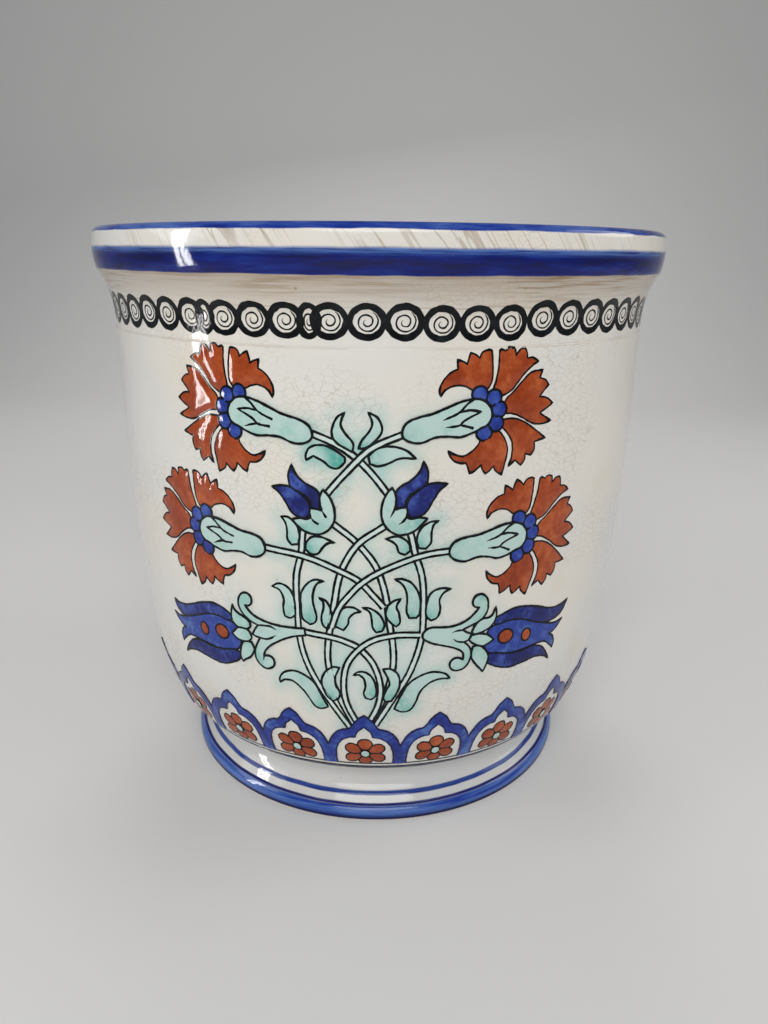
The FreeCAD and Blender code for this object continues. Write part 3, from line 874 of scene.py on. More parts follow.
# The flower spray. Across is read from the row's own zero and axis is the line that the spray mirrors on
spray = {
    "axis": -1.7,
    "copies": 2,
    "outline": 1.03,
    "stemWidth": 2.4,
    "unsteady": (0.15, 0.9),
    "carnation": {
        "mouth": (48, 207.5),
        # each flower: its mouth, then the turn in degrees and the stretch across and up of its petals and of
        # its calyx; the left ones are mirrored
        "right": [((48, 207.5), (0, 1.0, 1.0), (0, 1.0, 1.0)),
                  ((68.8, 153.8), (-7, 1.0, 1.07), (-7, 1.0, 1.05))],
        "left": [((48.7, 206.3), (1.5, 0.94, 1.025), (0, 1.01, 1.02)),
                 ((68.9, 153.3), (-7, 0.97, 1.07), (-7, 0.95, 1.04))],
        "petals": [
            [(29.8, 215), (31.5, 217.5), (35, 219), (39, 218.7), (42.5, 217), (45, 217.3), (48.5, 217.5),
             (49.8, 220), (50, 225), (49.5, 231.5), (48.5, 231.8), (46, 231), (44.7, 228.7), (43, 230),
             (41, 231), (40.5, 229), (39.8, 226.5), (38, 227.7), (35.8, 228.5), (36.2, 225), (33, 223.5),
             (30, 220), (29.2, 217)],
            [(51, 217.5), (52, 221), (52.8, 226), (52.8, 231.5), (53.5, 232), (55.5, 231.3), (57, 232.5),
             (59.3, 232.3), (60, 229.3), (62, 231.5), (64, 232), (65, 230), (65.3, 228), (68, 228),
             (71, 226.5), (67, 224.5), (63, 221), (59, 216.5), (55, 214.3)],
            [(56.5, 212.3), (60, 215.5), (64, 219.5), (68, 222.3), (73.5, 223), (72, 220), (75, 219),
             (77, 217), (74, 214.5), (72.3, 212.5), (76, 212), (79.7, 209.7), (76, 207.8), (73, 206.3),
             (76, 204.5), (79.2, 202.8), (75, 202), (70, 202.5), (65, 205), (60, 207), (56.5, 207.3)],
            [(56, 204.8), (61, 204.7), (66, 203), (71, 200), (77, 196), (71.5, 195), (71.8, 192),
             (70.5, 189.5), (67.5, 190.5), (67.5, 188), (66, 185.7), (63, 188), (60, 185.7), (61.3, 190),
             (61, 195), (58.5, 199), (55.5, 202)],
            [(54, 200.5), (57, 197), (58.8, 192.5), (58, 187), (57, 182.5), (54, 184.5), (53, 186.5),
             (51, 184.5), (49.5, 183.5), (48, 185.5), (47.5, 187.3), (44.5, 185), (42.7, 184), (42, 186.5),
             (41, 188.3), (38, 188.5), (35, 190.5), (33.5, 193.5), (36, 192), (39.5, 191), (43, 192.5),
             (45.5, 195), (47, 198)],
        ],
        "beads": [(45.2, 215.2), (51.2, 213.7), (53.7, 209), (52.7, 203.5), (47.8, 200)],
        "beadRadius": 3.2,
        "beadRelief": (4, 0.24),
        "calyx": [(15.5, 202), (17, 205), (21, 207), (27, 208.5), (32, 210.5), (37, 212.5), (41, 213.4),
                  (45, 213.5), (48, 212), (50.3, 209), (50.3, 205.5), (48.5, 203), (46, 202), (43, 200.5),
                  (38, 199), (33, 199.5), (28, 199.3), (23, 197.5), (19, 197.7), (16, 199.5)],
        "creases": [[(43.4, 213.9), (40.5, 212.1), (36.7, 208.4), (30.9, 205.9)],
                    [(37, 208.7), (41.2, 209.4), (46, 208.7), (42.5, 207.1), (39.2, 205.3), (37.3, 203.6),
                     (32.1, 203.1)],
                    [(43.1, 202.2), (39.2, 203.4), (36.5, 203.8)]],
    },
    "bud": {
        "middle": (15, 168),
        "paleEnd": (11, 177),
        "leftTurn": 4.5,
        "leftSize": 0.96,
        "leftShift": (0.8, -1.2),
        "petals": [
            [(13.5, 177), (15, 179.5), (19, 182), (22.5, 185.5), (24, 190), (25.8, 186), (26, 182.5),
             (25.5, 180.5), (20, 177), (17.5, 174), (17.8, 171), (14, 170.5)],
            [(25.8, 180.3), (29, 181), (34, 180.5), (31, 178), (28.5, 174), (26, 169.5), (23, 167.5),
             (20, 167), (17.8, 169), (18, 172.5), (19.5, 175.5), (23, 178.5)],
        ],
        "calyx": [(11.9, 179.4), (13.2, 176.9), (13.5, 173.6), (12.9, 170.3), (15.2, 171.1), (17.8, 171.4),
                  (18.2, 169.4), (17.8, 167.2), (19.7, 166.6), (22.8, 167), (26.4, 166.5), (24.3, 164.2),
                  (22, 161.9), (18.9, 160.3), (15.1, 159.8), (11.2, 161.5), (8.5, 164.8), (7.6, 168.6),
                  (8, 172.8), (9.7, 176.9)],
        "creases": [[(12.9, 170.5), (12.2, 169), (11.2, 167.2)],
                    [(17.8, 167.4), (16.6, 165.6), (14.7, 164.2)]],
    },
    "tulip": {
        "upperPetal": [
            (58, 116), (60, 117.5), (64, 119), (68, 120.3), (72, 120.5), (78, 119.3), (84, 117.5),
            (90, 115), (96, 113.8), (101, 114.5), (103.8, 115.5), (100.5, 110.3), (96, 108.3), (90, 108),
            (86, 109), (80, 111.5), (74, 114), (67, 115), (61, 114.2)],
        "upperPetalLeft": [
            (58, 116), (60, 117.8), (64, 119.6), (69, 120.5), (74, 119.6), (80, 117.6), (86, 115),
            (91, 113.3), (96, 112.8), (99.9, 113.7), (98.2, 109.8), (94.5, 107.4), (90, 107.6), (86, 109),
            (80, 111.5), (74, 114), (67, 115), (61, 114.2)],
        "lowerPetal": [
            (60, 99.5), (67, 97.8), (75, 97), (82, 97.5), (88, 95.8), (92, 92.5), (96, 87), (92, 89.5),
            (86, 91), (80, 90.7), (74, 90.2), (70, 90), (65, 91.2), (60, 93.5), (57, 95.5), (56, 99)],
        "middlePetal": [
            (57, 112.8), (61, 114.2), (67, 115), (74, 114), (80, 111.5), (86, 109), (94, 106), (98, 105.5),
            (102, 106.3), (99, 103), (95.5, 101), (93, 100.7), (96, 99), (98, 95.5), (97.8, 92),
            (95, 94.5), (91, 97.3), (86, 98), (80, 97.7), (74, 97.5), (68, 97.5), (60, 99), (56, 102),
            (55, 107)],
        "spots": [(66, 107.2, 3.9, 3.5), (77.5, 105.2, 2.5, 3.1)],
        "spotRelief": (4, 0.22),
        "leftShift": (1.0, -2.4),
    },
    # each tulip sits in three sepals on a trumpet that ends in two scrolls
    "trumpetRight": {
        "sepals": [
            [(59.4, 123.2), (59.8, 120.5), (59.8, 117.5), (58, 114.5), (55, 112.5), (51.5, 111.5),
             (49.3, 111.4), (48.3, 112.5), (49.2, 115), (50.5, 117), (53, 118.4), (56, 118.5),
             (57.8, 119.5), (58.7, 121.5)],
            [(59.5, 107), (57, 105.5), (54, 104.7), (51, 105.7), (48.5, 107.3), (47, 109), (48.3, 111),
             (51, 111.3), (54, 110.7), (57, 109.3)],
            [(55.5, 91), (53.5, 93.2), (51, 96), (49, 99), (48.6, 102), (49.2, 105), (51.5, 105.3),
             (54, 104), (56.5, 101), (57.5, 98), (56.7, 94)],
        ],
        "scroll": [
            (26, 114), (27.5, 116), (30, 116.9), (34, 116.7), (38, 116.6), (42, 117.3), (46, 119.2),
            (49, 121.8), (51, 124.4), (49, 124.9), (47.8, 126.3), (47.8, 128.3), (49, 130), (51, 130.6),
            (53, 130), (54.7, 128), (55.3, 125), (55, 122), (53.3, 119.2), (50.5, 117.2), (47, 115.8),
            (43.7, 114.5), (46, 112.8), (48, 111.9), (46.7, 109), (44.5, 108.3), (46.5, 106.5), (48, 104),
            (48.5, 101), (48, 98.2), (46.8, 95.8), (45, 94.3), (42, 94), (39.8, 95), (38.7, 97),
            (39.2, 99.3), (41, 100.5), (43, 100.2), (44.8, 99.2), (44.8, 101), (44.3, 103), (42, 105),
            (39, 106.5), (35, 107.8), (31, 109), (28, 110.5), (26.2, 112)],
        "creases": [[(43.7, 114.4), (41.5, 114.4), (39, 113.7)],
                    [(44.5, 108.3), (41.5, 109.1), (39.7, 110.5)]],
    },
    "trumpetLeft": {
        "sepals": [
            [(-60.3, 120.5), (-59.5, 118.5), (-57, 116.7), (-53.5, 115.3), (-51.3, 113.5), (-51.3, 111.3),
             (-53, 110), (-56, 110), (-58.5, 110.2), (-60.5, 112), (-61.3, 115)],
            [(-62, 106), (-59.5, 108.5), (-57.5, 110), (-54, 109.9), (-51.8, 108.5), (-51, 106),
             (-52.5, 104), (-55.5, 103.3), (-59, 103.7)],
            [(-57.3, 92.5), (-55.5, 94), (-52.5, 96), (-50.3, 99.5), (-50.2, 101), (-51.5, 103.5),
             (-54, 103.6), (-56, 102.5), (-57.5, 99.5), (-58.3, 95.5)],
        ],
        "scroll": [
            (-25, 115.2), (-30, 114.8), (-35, 114.7), (-40, 115), (-45, 116), (-49, 117.5), (-51.5, 119.5),
            (-53.3, 121.7), (-51.5, 121.8), (-50, 123), (-49.7, 125), (-50.5, 126.8), (-52.3, 127.7),
            (-54.5, 127), (-56, 125), (-56.7, 122), (-55.8, 119), (-54, 116.8), (-52, 115.2), (-49.5, 114),
            (-47, 113.2), (-48.5, 111.3), (-50.3, 108.2), (-48.7, 107.3), (-46.3, 107), (-47.5, 105),
            (-49, 102), (-49.7, 99), (-49.6, 96), (-48, 93.5), (-45.5, 92), (-43, 92.3), (-41, 93.8),
            (-40.4, 96), (-41.3, 98), (-43, 98.6), (-45, 98.2), (-45, 99.6), (-43.5, 102), (-41, 104.5),
            (-37.5, 107), (-33, 109.5), (-29, 111), (-24.5, 112)],
        "creases": [[(-47, 113.2), (-44.5, 113.6), (-41, 113.7), (-38, 112.5)], [(-45, 99.2), (-45.8, 95.7)],
                    [(-46.3, 107), (-43.5, 107), (-41, 108), (-38.7, 109.8)]],
    },
    # stems by layer: the later ones pass over the earlier
    "stems": [
        (0, [(-24, 201.5), (-18.6, 200), (-8, 195.5), (0, 189), (10.5, 176), (19, 162), (22, 150),
             (25, 140), (26, 126), (25.5, 112), (21, 96), (14, 82), (6, 66)]),
        (1, [(20.5, 202.3), (15.5, 200.5), (5, 195.8), (-1, 191), (-14, 176), (-23, 162), (-25, 150),
             (-27.5, 140), (-28, 125), (-27.5, 112), (-25, 100), (-20.5, 89), (-13, 76), (-6, 64)]),
        (0, [(-14.5, 166), (-10.5, 163), (-2, 156), (5, 147), (8, 139), (10, 130), (11.5, 120), (13, 110),
             (13.5, 100), (12, 90), (9, 80), (3, 66)]),
        (1, [(12, 165.5), (8.5, 163), (-1, 156), (-7, 147), (-10, 139), (-11.5, 130), (-13, 121),
             (-14.5, 110), (-15, 100), (-13.5, 90), (-10, 80), (-4, 66)]),
        (2, [(-46, 151.5), (-40, 151), (-25, 149), (-12, 144.5), (-2, 139.5), (4, 133), (9, 127)]),
        (3, [(44, 152), (38, 151.5), (25, 150), (10, 144.5), (0, 138.5), (-6, 132), (-10, 126), (-13, 117)]),
        (4, [(-26, 113.7), (-12, 112), (-3, 108.5), (0, 106), (5, 99), (8, 88), (7, 78), (2, 66)]),
        (5, [(25, 113.8), (15, 114), (5, 111.5), (-2, 106), (-7, 98), (-8.5, 88), (-7, 78), (-2, 66)]),
    ],
    # leaves start at their tips; one of them took more colour than the rest
    "darkLeaf": 3,
    "leaves": [
        [(2.5, 209), (6, 207), (7.8, 202.5), (6, 199), (2, 195.5), (-1.2, 195), (0, 198), (3, 202), (4, 205)],
        [(-6.5, 209), (-9.5, 207), (-11.5, 202), (-10.5, 198), (-3.5, 193.5), (-3.2, 197), (-6, 200.5),
         (-8, 204), (-7.5, 207)],
        [(21, 191), (17, 194.5), (11, 196), (6, 195), (2.5, 192), (3, 189), (6, 188), (10, 189), (15, 191.2)],
        [(-22, 189.5), (-22, 192), (-20, 195), (-15, 196), (-10, 194), (-6.5, 191.5), (-6.5, 189.5),
         (-9.5, 187), (-12.5, 187.5), (-15, 189.5), (-19, 191.5)],
        [(31, 165), (27, 164.5), (23.5, 161.5), (22.3, 157), (23, 153.5), (26, 153), (28, 155.5),
         (28.2, 160), (29, 163.5)],
        [(-33.2, 165), (-30, 165), (-26.5, 162), (-25.3, 157.5), (-26, 154), (-29, 153.5), (-30.7, 156),
         (-30.7, 160), (-31.5, 163)],
        [(9.5, 158), (13, 159), (16, 158.5), (19, 156), (19.8, 152.5), (17.5, 150.8), (15, 152), (14, 155),
         (12, 157)],
        [(-11, 155.5), (-16, 157.6), (-20, 157.5), (-22.5, 155), (-23, 152), (-21, 150.1), (-18, 150.3),
         (-16, 153), (-13.5, 155.3)],
        [(13.5, 140), (17, 139.8), (21, 137.5), (24, 132), (24.5, 124), (23, 122), (20, 122), (18.7, 125),
         (18.7, 132), (17, 137)],
        [(-16, 138.3), (-20, 138.6), (-23.5, 136), (-25.8, 132), (-26.3, 126), (-25.7, 120),
         (-22.5, 117.5), (-20, 119), (-19.5, 122), (-20.8, 128), (-20.5, 133), (-18.8, 137)],
        [(37.5, 134.5), (33, 135), (29, 133), (27.3, 128), (27.3, 122.5), (29.5, 120.3), (32, 121.5),
         (33.2, 125), (32.8, 130), (34.5, 133)],
        [(-39, 133.5), (-36, 135.2), (-32.5, 134.5), (-30, 131.5), (-29, 127), (-29, 121), (-31.5, 119.3),
         (-34, 120), (-34.5, 124), (-34, 128), (-35.5, 132)],
        [(0, 127), (3, 126.7), (7, 124), (9.5, 119), (8.5, 116), (6, 115.3), (4.5, 117.5), (4, 121.5),
         (3, 125)],
        [(16, 131), (13, 130), (10.5, 127.5), (10, 123), (12, 120), (14.5, 118), (16, 120), (15.5, 124),
         (14.3, 127.5)],
        [(-0.5, 125), (-4, 127), (-8, 126.5), (-10.5, 123), (-12, 118), (-8, 116), (-6, 119), (-5.5, 122),
         (-3, 124.5)],
        [(-18.3, 130.6), (-15.3, 129.5), (-13.2, 125), (-12.8, 120), (-14.5, 116), (-16.8, 118),
         (-17.3, 122), (-16.3, 126), (-16.3, 129)],
        [(39.5, 90.3), (37, 93), (31, 94.5), (25, 92.8), (20.5, 89.5), (17, 83), (14.5, 76), (18, 74.2),
         (21.5, 75), (24, 79), (26, 85), (30, 89), (34, 90.5)],
        [(-38.5, 86), (-38.5, 88.5), (-36, 91.8), (-31, 93.5), (-26, 92), (-22, 88.5), (-19, 82),
         (-16, 76), (-19.5, 74.5), (-22.5, 75.8), (-25, 80), (-28, 84.5), (-32, 88), (-36, 88)],
        [(9, 97), (12.5, 97), (15.5, 94.5), (16.5, 89), (15, 84), (13, 80.5), (10.5, 80.2), (9.5, 82),
         (10.5, 86), (12, 89.5), (11, 93)],
        [(-10, 97.3), (-13, 97.5), (-16.5, 95), (-18.5, 90.5), (-18, 86), (-16, 81.5), (-13.5, 79.7),
         (-11, 81), (-10.3, 84.5), (-12, 88), (-12.3, 92), (-11, 95.5)],
        [(-4, 93.7), (-2, 95.3), (1, 95.3), (4, 93), (6, 88), (6, 83.5), (4, 81.3), (1.5, 82), (0.5, 84.5),
         (1.3, 88), (0.5, 92), (-1.5, 94)],
    ],
}

# Stamped rings with a spiral, under the rim
ringBorder = {
    "count": 57,
    "stamps": 3,           # the stamp was inked anew, so three prints take turns
    "first": -11.6,        # the row starts here and goes round to last
    "last": -71.0,
    "between": (-54.9, -28.7, 3),      # a short run fills the rest
    "squeezed": (-64.0, -19.6, 2),     # with a narrow stamp at each end
    "squeezedSize": 0.60,
    "centreHeight": 242.2,
    "ringRadii": (6.15, 5.6),
    "ringStroke": 2.45,
    "spiralStroke": 0.62,
    "spiralStart": math.radians(58),
    "spiralTurns": 1.8,
    "spiralFrom": 4.3,
    "spiralTo": 0.9,
    "spiralSquash": 0.96,
    "rough": 0.11,
    "taper": (2.0, 2.5),
    "unsteady": (0.26, 0.0),
    "jitter": (0.12, 0.6, 0.035),
}


def drawRing(narrow, layer, inking):
    sheet = EnamelSheet()
    across, up = ringBorder["ringRadii"]
    ring = ellipse(0, 0, across * narrow, up, 40)
    sheet.stroke(ring, ringBorder["ringStroke"], layer, closed=True, rough=ringBorder["rough"], seed=inking)
    spiral = []
    for share in np.linspace(0, 1, 44):
        angle = ringBorder["spiralStart"] - share * ringBorder["spiralTurns"] * 2 * math.pi
        radius = ringBorder["spiralFrom"] + share * (ringBorder["spiralTo"] - ringBorder["spiralFrom"])
        height = radius * ringBorder["spiralSquash"] * math.sin(angle)
        spiral.append((radius * narrow * math.cos(angle), height))
    sheet.stroke(spiral, ringBorder["spiralStroke"], layer, taper=ringBorder["taper"], seed=inking + 3)
    return sheet


def stampRow(name, sheet, start, copies, pitch, jitter=(0.0, 0.0, 0.0)):
    place = (start - spray["axis"], ringBorder["centreHeight"])
    return layOnPot(sheet, name, blackLine, copies, pitch, ringBorder["unsteady"], place, jitter)


ringPitch = (girth + ringBorder["last"] - ringBorder["first"]) / (ringBorder["count"] - 1)
rings = []
for stamp in range(ringBorder["stamps"]):
    rings.append(stampRow(
        f"ring_border_{stamp + 1}", drawRing(1.0, 0, stamp), ringBorder["first"] + stamp * ringPitch,
        ringBorder["count"] // ringBorder["stamps"], ringPitch * ringBorder["stamps"], ringBorder["jitter"]))
for name, part, size, layer, inking in (("ring_border_4", "between", 1.0, 0, 5),
                                        ("ring_squeezed", "squeezed", ringBorder["squeezedSize"], -0.4, 9)):
    start, end, copies = ringBorder[part]
    rings.append(stampRow(name, drawRing(size, layer, inking), start, copies, (end - start) / (copies - 1)))
print("ring border:", ringBorder["count"], "stamps")

# Arcade of pointed palmettes with a rosette in each
palmetteRow = {
    "count": 23,
    "centre": 2.2,
    "baseHeight": 40.2,
    "outerHalf": [(0, 72), (3.4, 69.2), (7, 64), (10.5, 62.9), (13.6, 61.0), (16.2, 57.2)],
    "valley": 52.6,
    "innerHalf": [(0, 65.2), (3.3, 62), (4.2, 58.9), (8, 58.2), (11.8, 55.3), (14.0, 50.5), (14.6, 45)],
    "outline": 0.75,
    "rough": 0.2,
    "step": 0.9,
    "rosette": (0.4, 47.7),
    "petals": [(90, 9.4, 7.4), (27, 10.8, 6.3), (-24, 10.9, 6.0), (-90, 7.6, 7.0), (204, 10.9, 6.0),
               (153, 10.8, 6.3)],
    "eyeRadius": 2.3,
    "unsteady": (0.20, 0.5),
}


def drawPalmette():
    blue, navy, line, red, eye = [EnamelSheet() for _ in range(5)]
    half = girth / palmetteRow["count"] / 2
    base = palmetteRow["baseHeight"]
    step = palmetteRow["step"]
    width = palmetteRow["outline"]
    rough = palmetteRow["rough"]
    outerHalf = palmetteRow["outerHalf"] + [(half, palmetteRow["valley"])]
    outer = smoothLine(mirrored(outerHalf[1:]) + outerHalf, False, step)
    innerHalf = palmetteRow["innerHalf"] + [(palmetteRow["innerHalf"][-1][0], base)]
    inner = smoothLine(mirrored(innerHalf[1:]) + innerHalf, False, step)
    column = smoothLine([(half, palmetteRow["valley"]), (half, base)], False, step)
    outline = outer + column[1:] + list(reversed(inner)) + mirrored(column[1:])
    blue.fill([outline], 6, dome=0.16, edge=2.2, grid=1.7, domeFrom=[(outer, False), (inner, False)])
    for seed, edge in ((1, outer), (2, inner)):
        navy.stroke(edge, width, 7, rough=rough, seed=seed)

    middle = Vector(palmetteRow["rosette"])
    for number, (angle, reach, wide) in enumerate(palmetteRow["petals"]):
        turn = Matrix.Rotation(math.radians(angle), 2)
        half = [(1.6, 0), (reach * 0.42, wide * 0.40), (reach * 0.66, wide * 0.5), (reach * 0.9, wide * 0.36)]
        shape = half + [(reach, 0)] + [(x, -z) for x, z in reversed(half[1:])]
        petal = smoothLine([tuple(middle + turn @ Vector(point)) for point in reversed(shape)], True, 0.8)
        red.fill([petal], number * 0.4, dome=0.16, edge=1.3, grid=1.3)
        line.stroke(petal, width, number * 0.4 + 0.4, closed=True, rough=rough, seed=number)
    ring = ellipse(*palmetteRow["rosette"], palmetteRow["eyeRadius"], palmetteRow["eyeRadius"], 16)
    eye.fill([ring], 6, dome=0.15, edge=1.2, grid=1.0)
    line.stroke(ring, width, 6, closed=True, rough=rough)
    return blue, navy, line, red, eye


palmettePitch = girth / palmetteRow["count"]
arcadeNames = (("arcade_band", arcadeCobaltEnamel), ("arcade_outlines", navyLine),
               ("rosette_outlines", blackLine), ("rosette_petals", redEnamel),
               ("rosette_eyes", turquoiseEnamel))
arcade = []
for sheet, (name, material) in zip(drawPalmette(), arcadeNames):
    arcade.append(layOnPot(sheet, name, material, palmetteRow["count"], palmettePitch,
                           palmetteRow["unsteady"], (palmetteRow["centre"], 0.0)))
print("arcade:", palmetteRow["count"], "palmettes")

sprayNames = {
    "carnation_petals": redEnamel, "carnation_beads": beadCobaltEnamel, "bud_petals": cobaltEnamel,
    "tulip_petals": cobaltEnamel, "tulip_hearts": heartCobaltEnamel, "tulip_spots": redEnamel,
    "stems": stemEnamel, "leaves": turquoiseEnamel, "calyxes": turquoiseEnamel, "spray_outlines": blackLine}
spraySheets = {name: EnamelSheet() for name in sprayNames}
sprayLines = spraySheets["spray_outlines"]


# for each form: its layer, how high its dome is, how far in the dome takes to rise, and how deep its colour
# grows away from the pale end
sprayRelief = {
    "carnationPetal": (0, 0.40, 2.4, 0.0),
    "carnationCalyx": (9, 0.08, 3.0, 0.62),
    "budPetal": (4, 0.16, 2.0, 0.0),
    "budCalyx": (7, 0.06, 2.5, 0.75),
    "tulipHeart": (0, 0.14, 2.5, 0.0),
    "tulipPetal": (3, 0.16, 2.0, 0.0),
    "sepal": (7, 0.05, 2.0, 0.7),
    "scroll": (6, 0.05, 2.0, 0.7),
    "leaf": (1.5, 0.04, 2.0, 0.85),
    "darkLeaf": (1.5, 0.04, 2.0, 1.3),
}


def centred(points):
    return [(across - spray["axis"], height) for across, height in points]


def onLeft(points):
    return mirrored(centred(points))


def outlined(name, form, points, place, paleEnd=None):
    layer, dome, edge, depth = sprayRelief[form]
    outline = smoothLine(place(points), True)
    start = place([paleEnd])[0] if paleEnd else None
    spraySheets[name].fill([outline], layer, dome, edge, tintFrom=start, tintDepth=depth)
    sprayLines.stroke(outline, spray["outline"], layer, closed=True, seed=len(sprayLines.points))


def crease(points, layer, place):
    line = smoothLine(place(points), False)
    sprayLines.stroke(line, spray["outline"], layer, taper=(0.0, 2.5), seed=len(sprayLines.points))


def spot(name, across, height, wide, tall, place, layer, dome):
    outline = place(ellipse(across, height, wide, tall, 20))
    spraySheets[name].fill([outline], layer, dome, wide * 0.8, grid=1.1)
    sprayLines.stroke(outline, spray["outline"], layer, closed=True, seed=len(sprayLines.points))


def drawCarnation(place, placeCalyx):
    flower = spray["carnation"]
    radius = flower["beadRadius"]
    for petal in flower["petals"]:
        outlined("carnation_petals", "carnationPetal", petal, place)
    for across, height in flower["beads"]:
        spot("carnation_beads", across, height, radius, radius, place, *flower["beadRelief"])
    outlined("calyxes", "carnationCalyx", flower["calyx"], placeCalyx, flower["mouth"])
    for line in flower["creases"]:
        crease(line, 10, placeCalyx)


def drawBud(place):
    bud = spray["bud"]
    for petal in bud["petals"]:
        outlined("bud_petals", "budPetal", petal, place)
    outlined("calyxes", "budCalyx", bud["calyx"], place, bud["paleEnd"])
    for line in bud["creases"]:
        crease(line, 8, place)


def drawTulip(place, upperPetal):
    tulip = spray["tulip"]
    outlined("tulip_hearts", "tulipHeart", tulip["middlePetal"], place)
    for petal in (upperPetal, tulip["lowerPetal"]):
        outlined("tulip_petals", "tulipPetal", petal, place)
    for across, height, wide, tall in tulip["spots"]:
        spot("tulip_spots", across, height, wide, tall, place, *tulip["spotRelief"])


def drawTrumpet(trumpet):
    for sepal in trumpet["sepals"]:
        outlined("calyxes", "sepal", sepal, centred, sepal[0])
    outlined("calyxes", "scroll", trumpet["scroll"], centred, trumpet["scroll"][0])
    for line in trumpet["creases"]:
        crease(line, 7, centred)


def placeFlower(onSide, mouth, turn, across, up):
    drawnMouth = Vector(spray["carnation"]["mouth"])
    shape = Matrix(((across, 0), (0, up))) @ Matrix.Rotation(math.radians(turn), 2)

    def place(points):
        return onSide([tuple(shape @ (Vector(point) - drawnMouth) + Vector(mouth)) for point in points])

    return place


def drawStem(layer, points):
    line = smoothLine(centred(points), False, 1.2)
    spraySheets["stems"].stroke(line, spray["stemWidth"], layer, crown=0.01, rough=0.03)
    path = np.array(line)
    run = np.gradient(path, axis=0)
    run /= np.linalg.norm(run, axis=1)[:, None]
    left = np.stack([-run[:, 1], run[:, 0]], axis=1) * spray["stemWidth"] / 2
    for side in (left, -left):
        sprayLines.stroke(path + side, spray["outline"], layer, seed=len(sprayLines.points))


def leftBud(points):
    bud = spray["bud"]
    middle = Vector(onLeft([bud["middle"]])[0])
    shape = Matrix.Rotation(math.radians(bud["leftTurn"]), 2) * bud["leftSize"]
    moved = middle + Vector(bud["leftShift"])
    return [tuple(shape @ (Vector(point) - middle) + moved) for point in onLeft(points)]


def leftTulip(points):
    right, up = spray["tulip"]["leftShift"]
    return [(across + right, height + up) for across, height in onLeft(points)]


for side, onSide in (("right", centred), ("left", onLeft)):
    for mouth, petals, calyx in spray["carnation"][side]:
        drawCarnation(placeFlower(onSide, mouth, *petals), placeFlower(onSide, mouth, *calyx))
drawBud(centred)
drawBud(leftBud)
drawTulip(centred, spray["tulip"]["upperPetal"])
drawTulip(leftTulip, spray["tulip"]["upperPetalLeft"])
drawTrumpet(spray["trumpetRight"])
drawTrumpet(spray["trumpetLeft"])
for layer, points in spray["stems"]:
    drawStem(layer, points)
for number, leaf in enumerate(spray["leaves"]):
    form = "darkLeaf" if number == spray["darkLeaf"] else "leaf"
    outlined("leaves", form, leaf, centred, leaf[0])
sprayPieces = {}
for name, material in sprayNames.items():
    sprayPieces[name] = layOnPot(spraySheets[name], name, material, spray["copies"], girth / spray["copies"],
                                 spray["unsteady"])
sprayFaces = sum(len(piece.data.polygons) for piece in sprayPieces.values())
print("spray:", sprayFaces, "faces in", len(sprayPieces), "pieces")


def makeWashTree():
    # stores how far the turquoise bled at each point of the pot's outside
    tree, given, result = newTree("washRoundStems", "GeometryNodeTree", [
        ("Geometry", "Geometry"), ("Stems", "Object"), ("Leaves", "Object"), ("Calyxes", "Object"),
        ("Reach", "Float"), ("Strength", "Float"), ("Calyx Share", "Float"), ("Pool", "Vector"),
        ("Pool Reach", "Float"), ("Material", "Material")], [("Geometry", "Geometry")])
    bleed = 0.0
    shares = {"Stems": given["Strength"], "Leaves": given["Strength"], "Calyxes": given["Calyx Share"]}
    for name, share in shares.items():
        source = addNode(tree, "GeometryNodeObjectInfo", {"Object": given[name]}).outputs["Geometry"]
        near = addNode(tree, "GeometryNodeProximity", {0: source}, target_element="FACES").outputs["Distance"]
        fade = calc(tree, "SUBTRACT", 1.0, calc(tree, "DIVIDE", near, given["Reach"]))
        fade = calc(tree, "POWER", calc(tree, "MAXIMUM", fade, 0.0), 1.7)
        bleed = calc(tree, "MAXIMUM", bleed, times(tree, fade, share))

    # the spray on the back is the front one turned half round
    position = addNode(tree, "GeometryNodeInputPosition").outputs[0]
    x, y, z = axesOf(tree, position)
    facing = calc(tree, "SIGN", times(tree, y, -1.0))
    far = measured(tree, "DISTANCE", joinAxes(tree, times(tree, x, facing), 0.0, z), given["Pool"])
    pool = calc(tree, "SUBTRACT", 1.0, calc(tree, "DIVIDE", far, given["Pool Reach"]))
    bleed = times(tree, bleed, calc(tree, "ADD", 1.0, calc(tree, "MAXIMUM", pool, 0.0)))

    normal = addNode(tree, "GeometryNodeInputNormal").outputs[0]
    outward = measured(tree, "DOT_PRODUCT", normal, joinAxes(tree, x, y))
    bleed = times(tree, bleed, calc(tree, "GREATER_THAN", outward, 0.0))
    stored = onGeometry(tree, "GeometryNodeStoreNamedAttribute", given["Geometry"],
                        {"Name": "wash", "Value": bleed}, data_type="FLOAT", domain="POINT")
    return endTree(tree, stored, given, result)


washHalo = {
    "reach": 9.5,
    "strength": 0.62,
    "calyxShare": 0.30,
    "pool": (-8.0, 189.0),     # across and height of the crossing where the wash lies deepest
    "poolReach": 26.0,
}
poolAcross, poolHeight = inMetres(washHalo["pool"])
runTree(pot, makeWashTree(), {
    "Stems": sprayPieces["stems"], "Leaves": sprayPieces["leaves"], "Calyxes": sprayPieces["calyxes"],
    "Reach": washHalo["reach"] * mm, "Strength": washHalo["strength"], "Calyx Share": washHalo["calyxShare"],
    "Pool": (poolAcross, 0.0, poolHeight), "Pool Reach": washHalo["poolReach"] * mm, "Material": potGlaze})
print("turquoise wash stored")

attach(pot, "cachepot")
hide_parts("cachepot")
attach(stand, "stand")
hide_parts("stand")
for piece in [*rings, *arcade, *sprayPieces.values()]:
    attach(piece, "cachepot")
print("pieces ride their bodies")

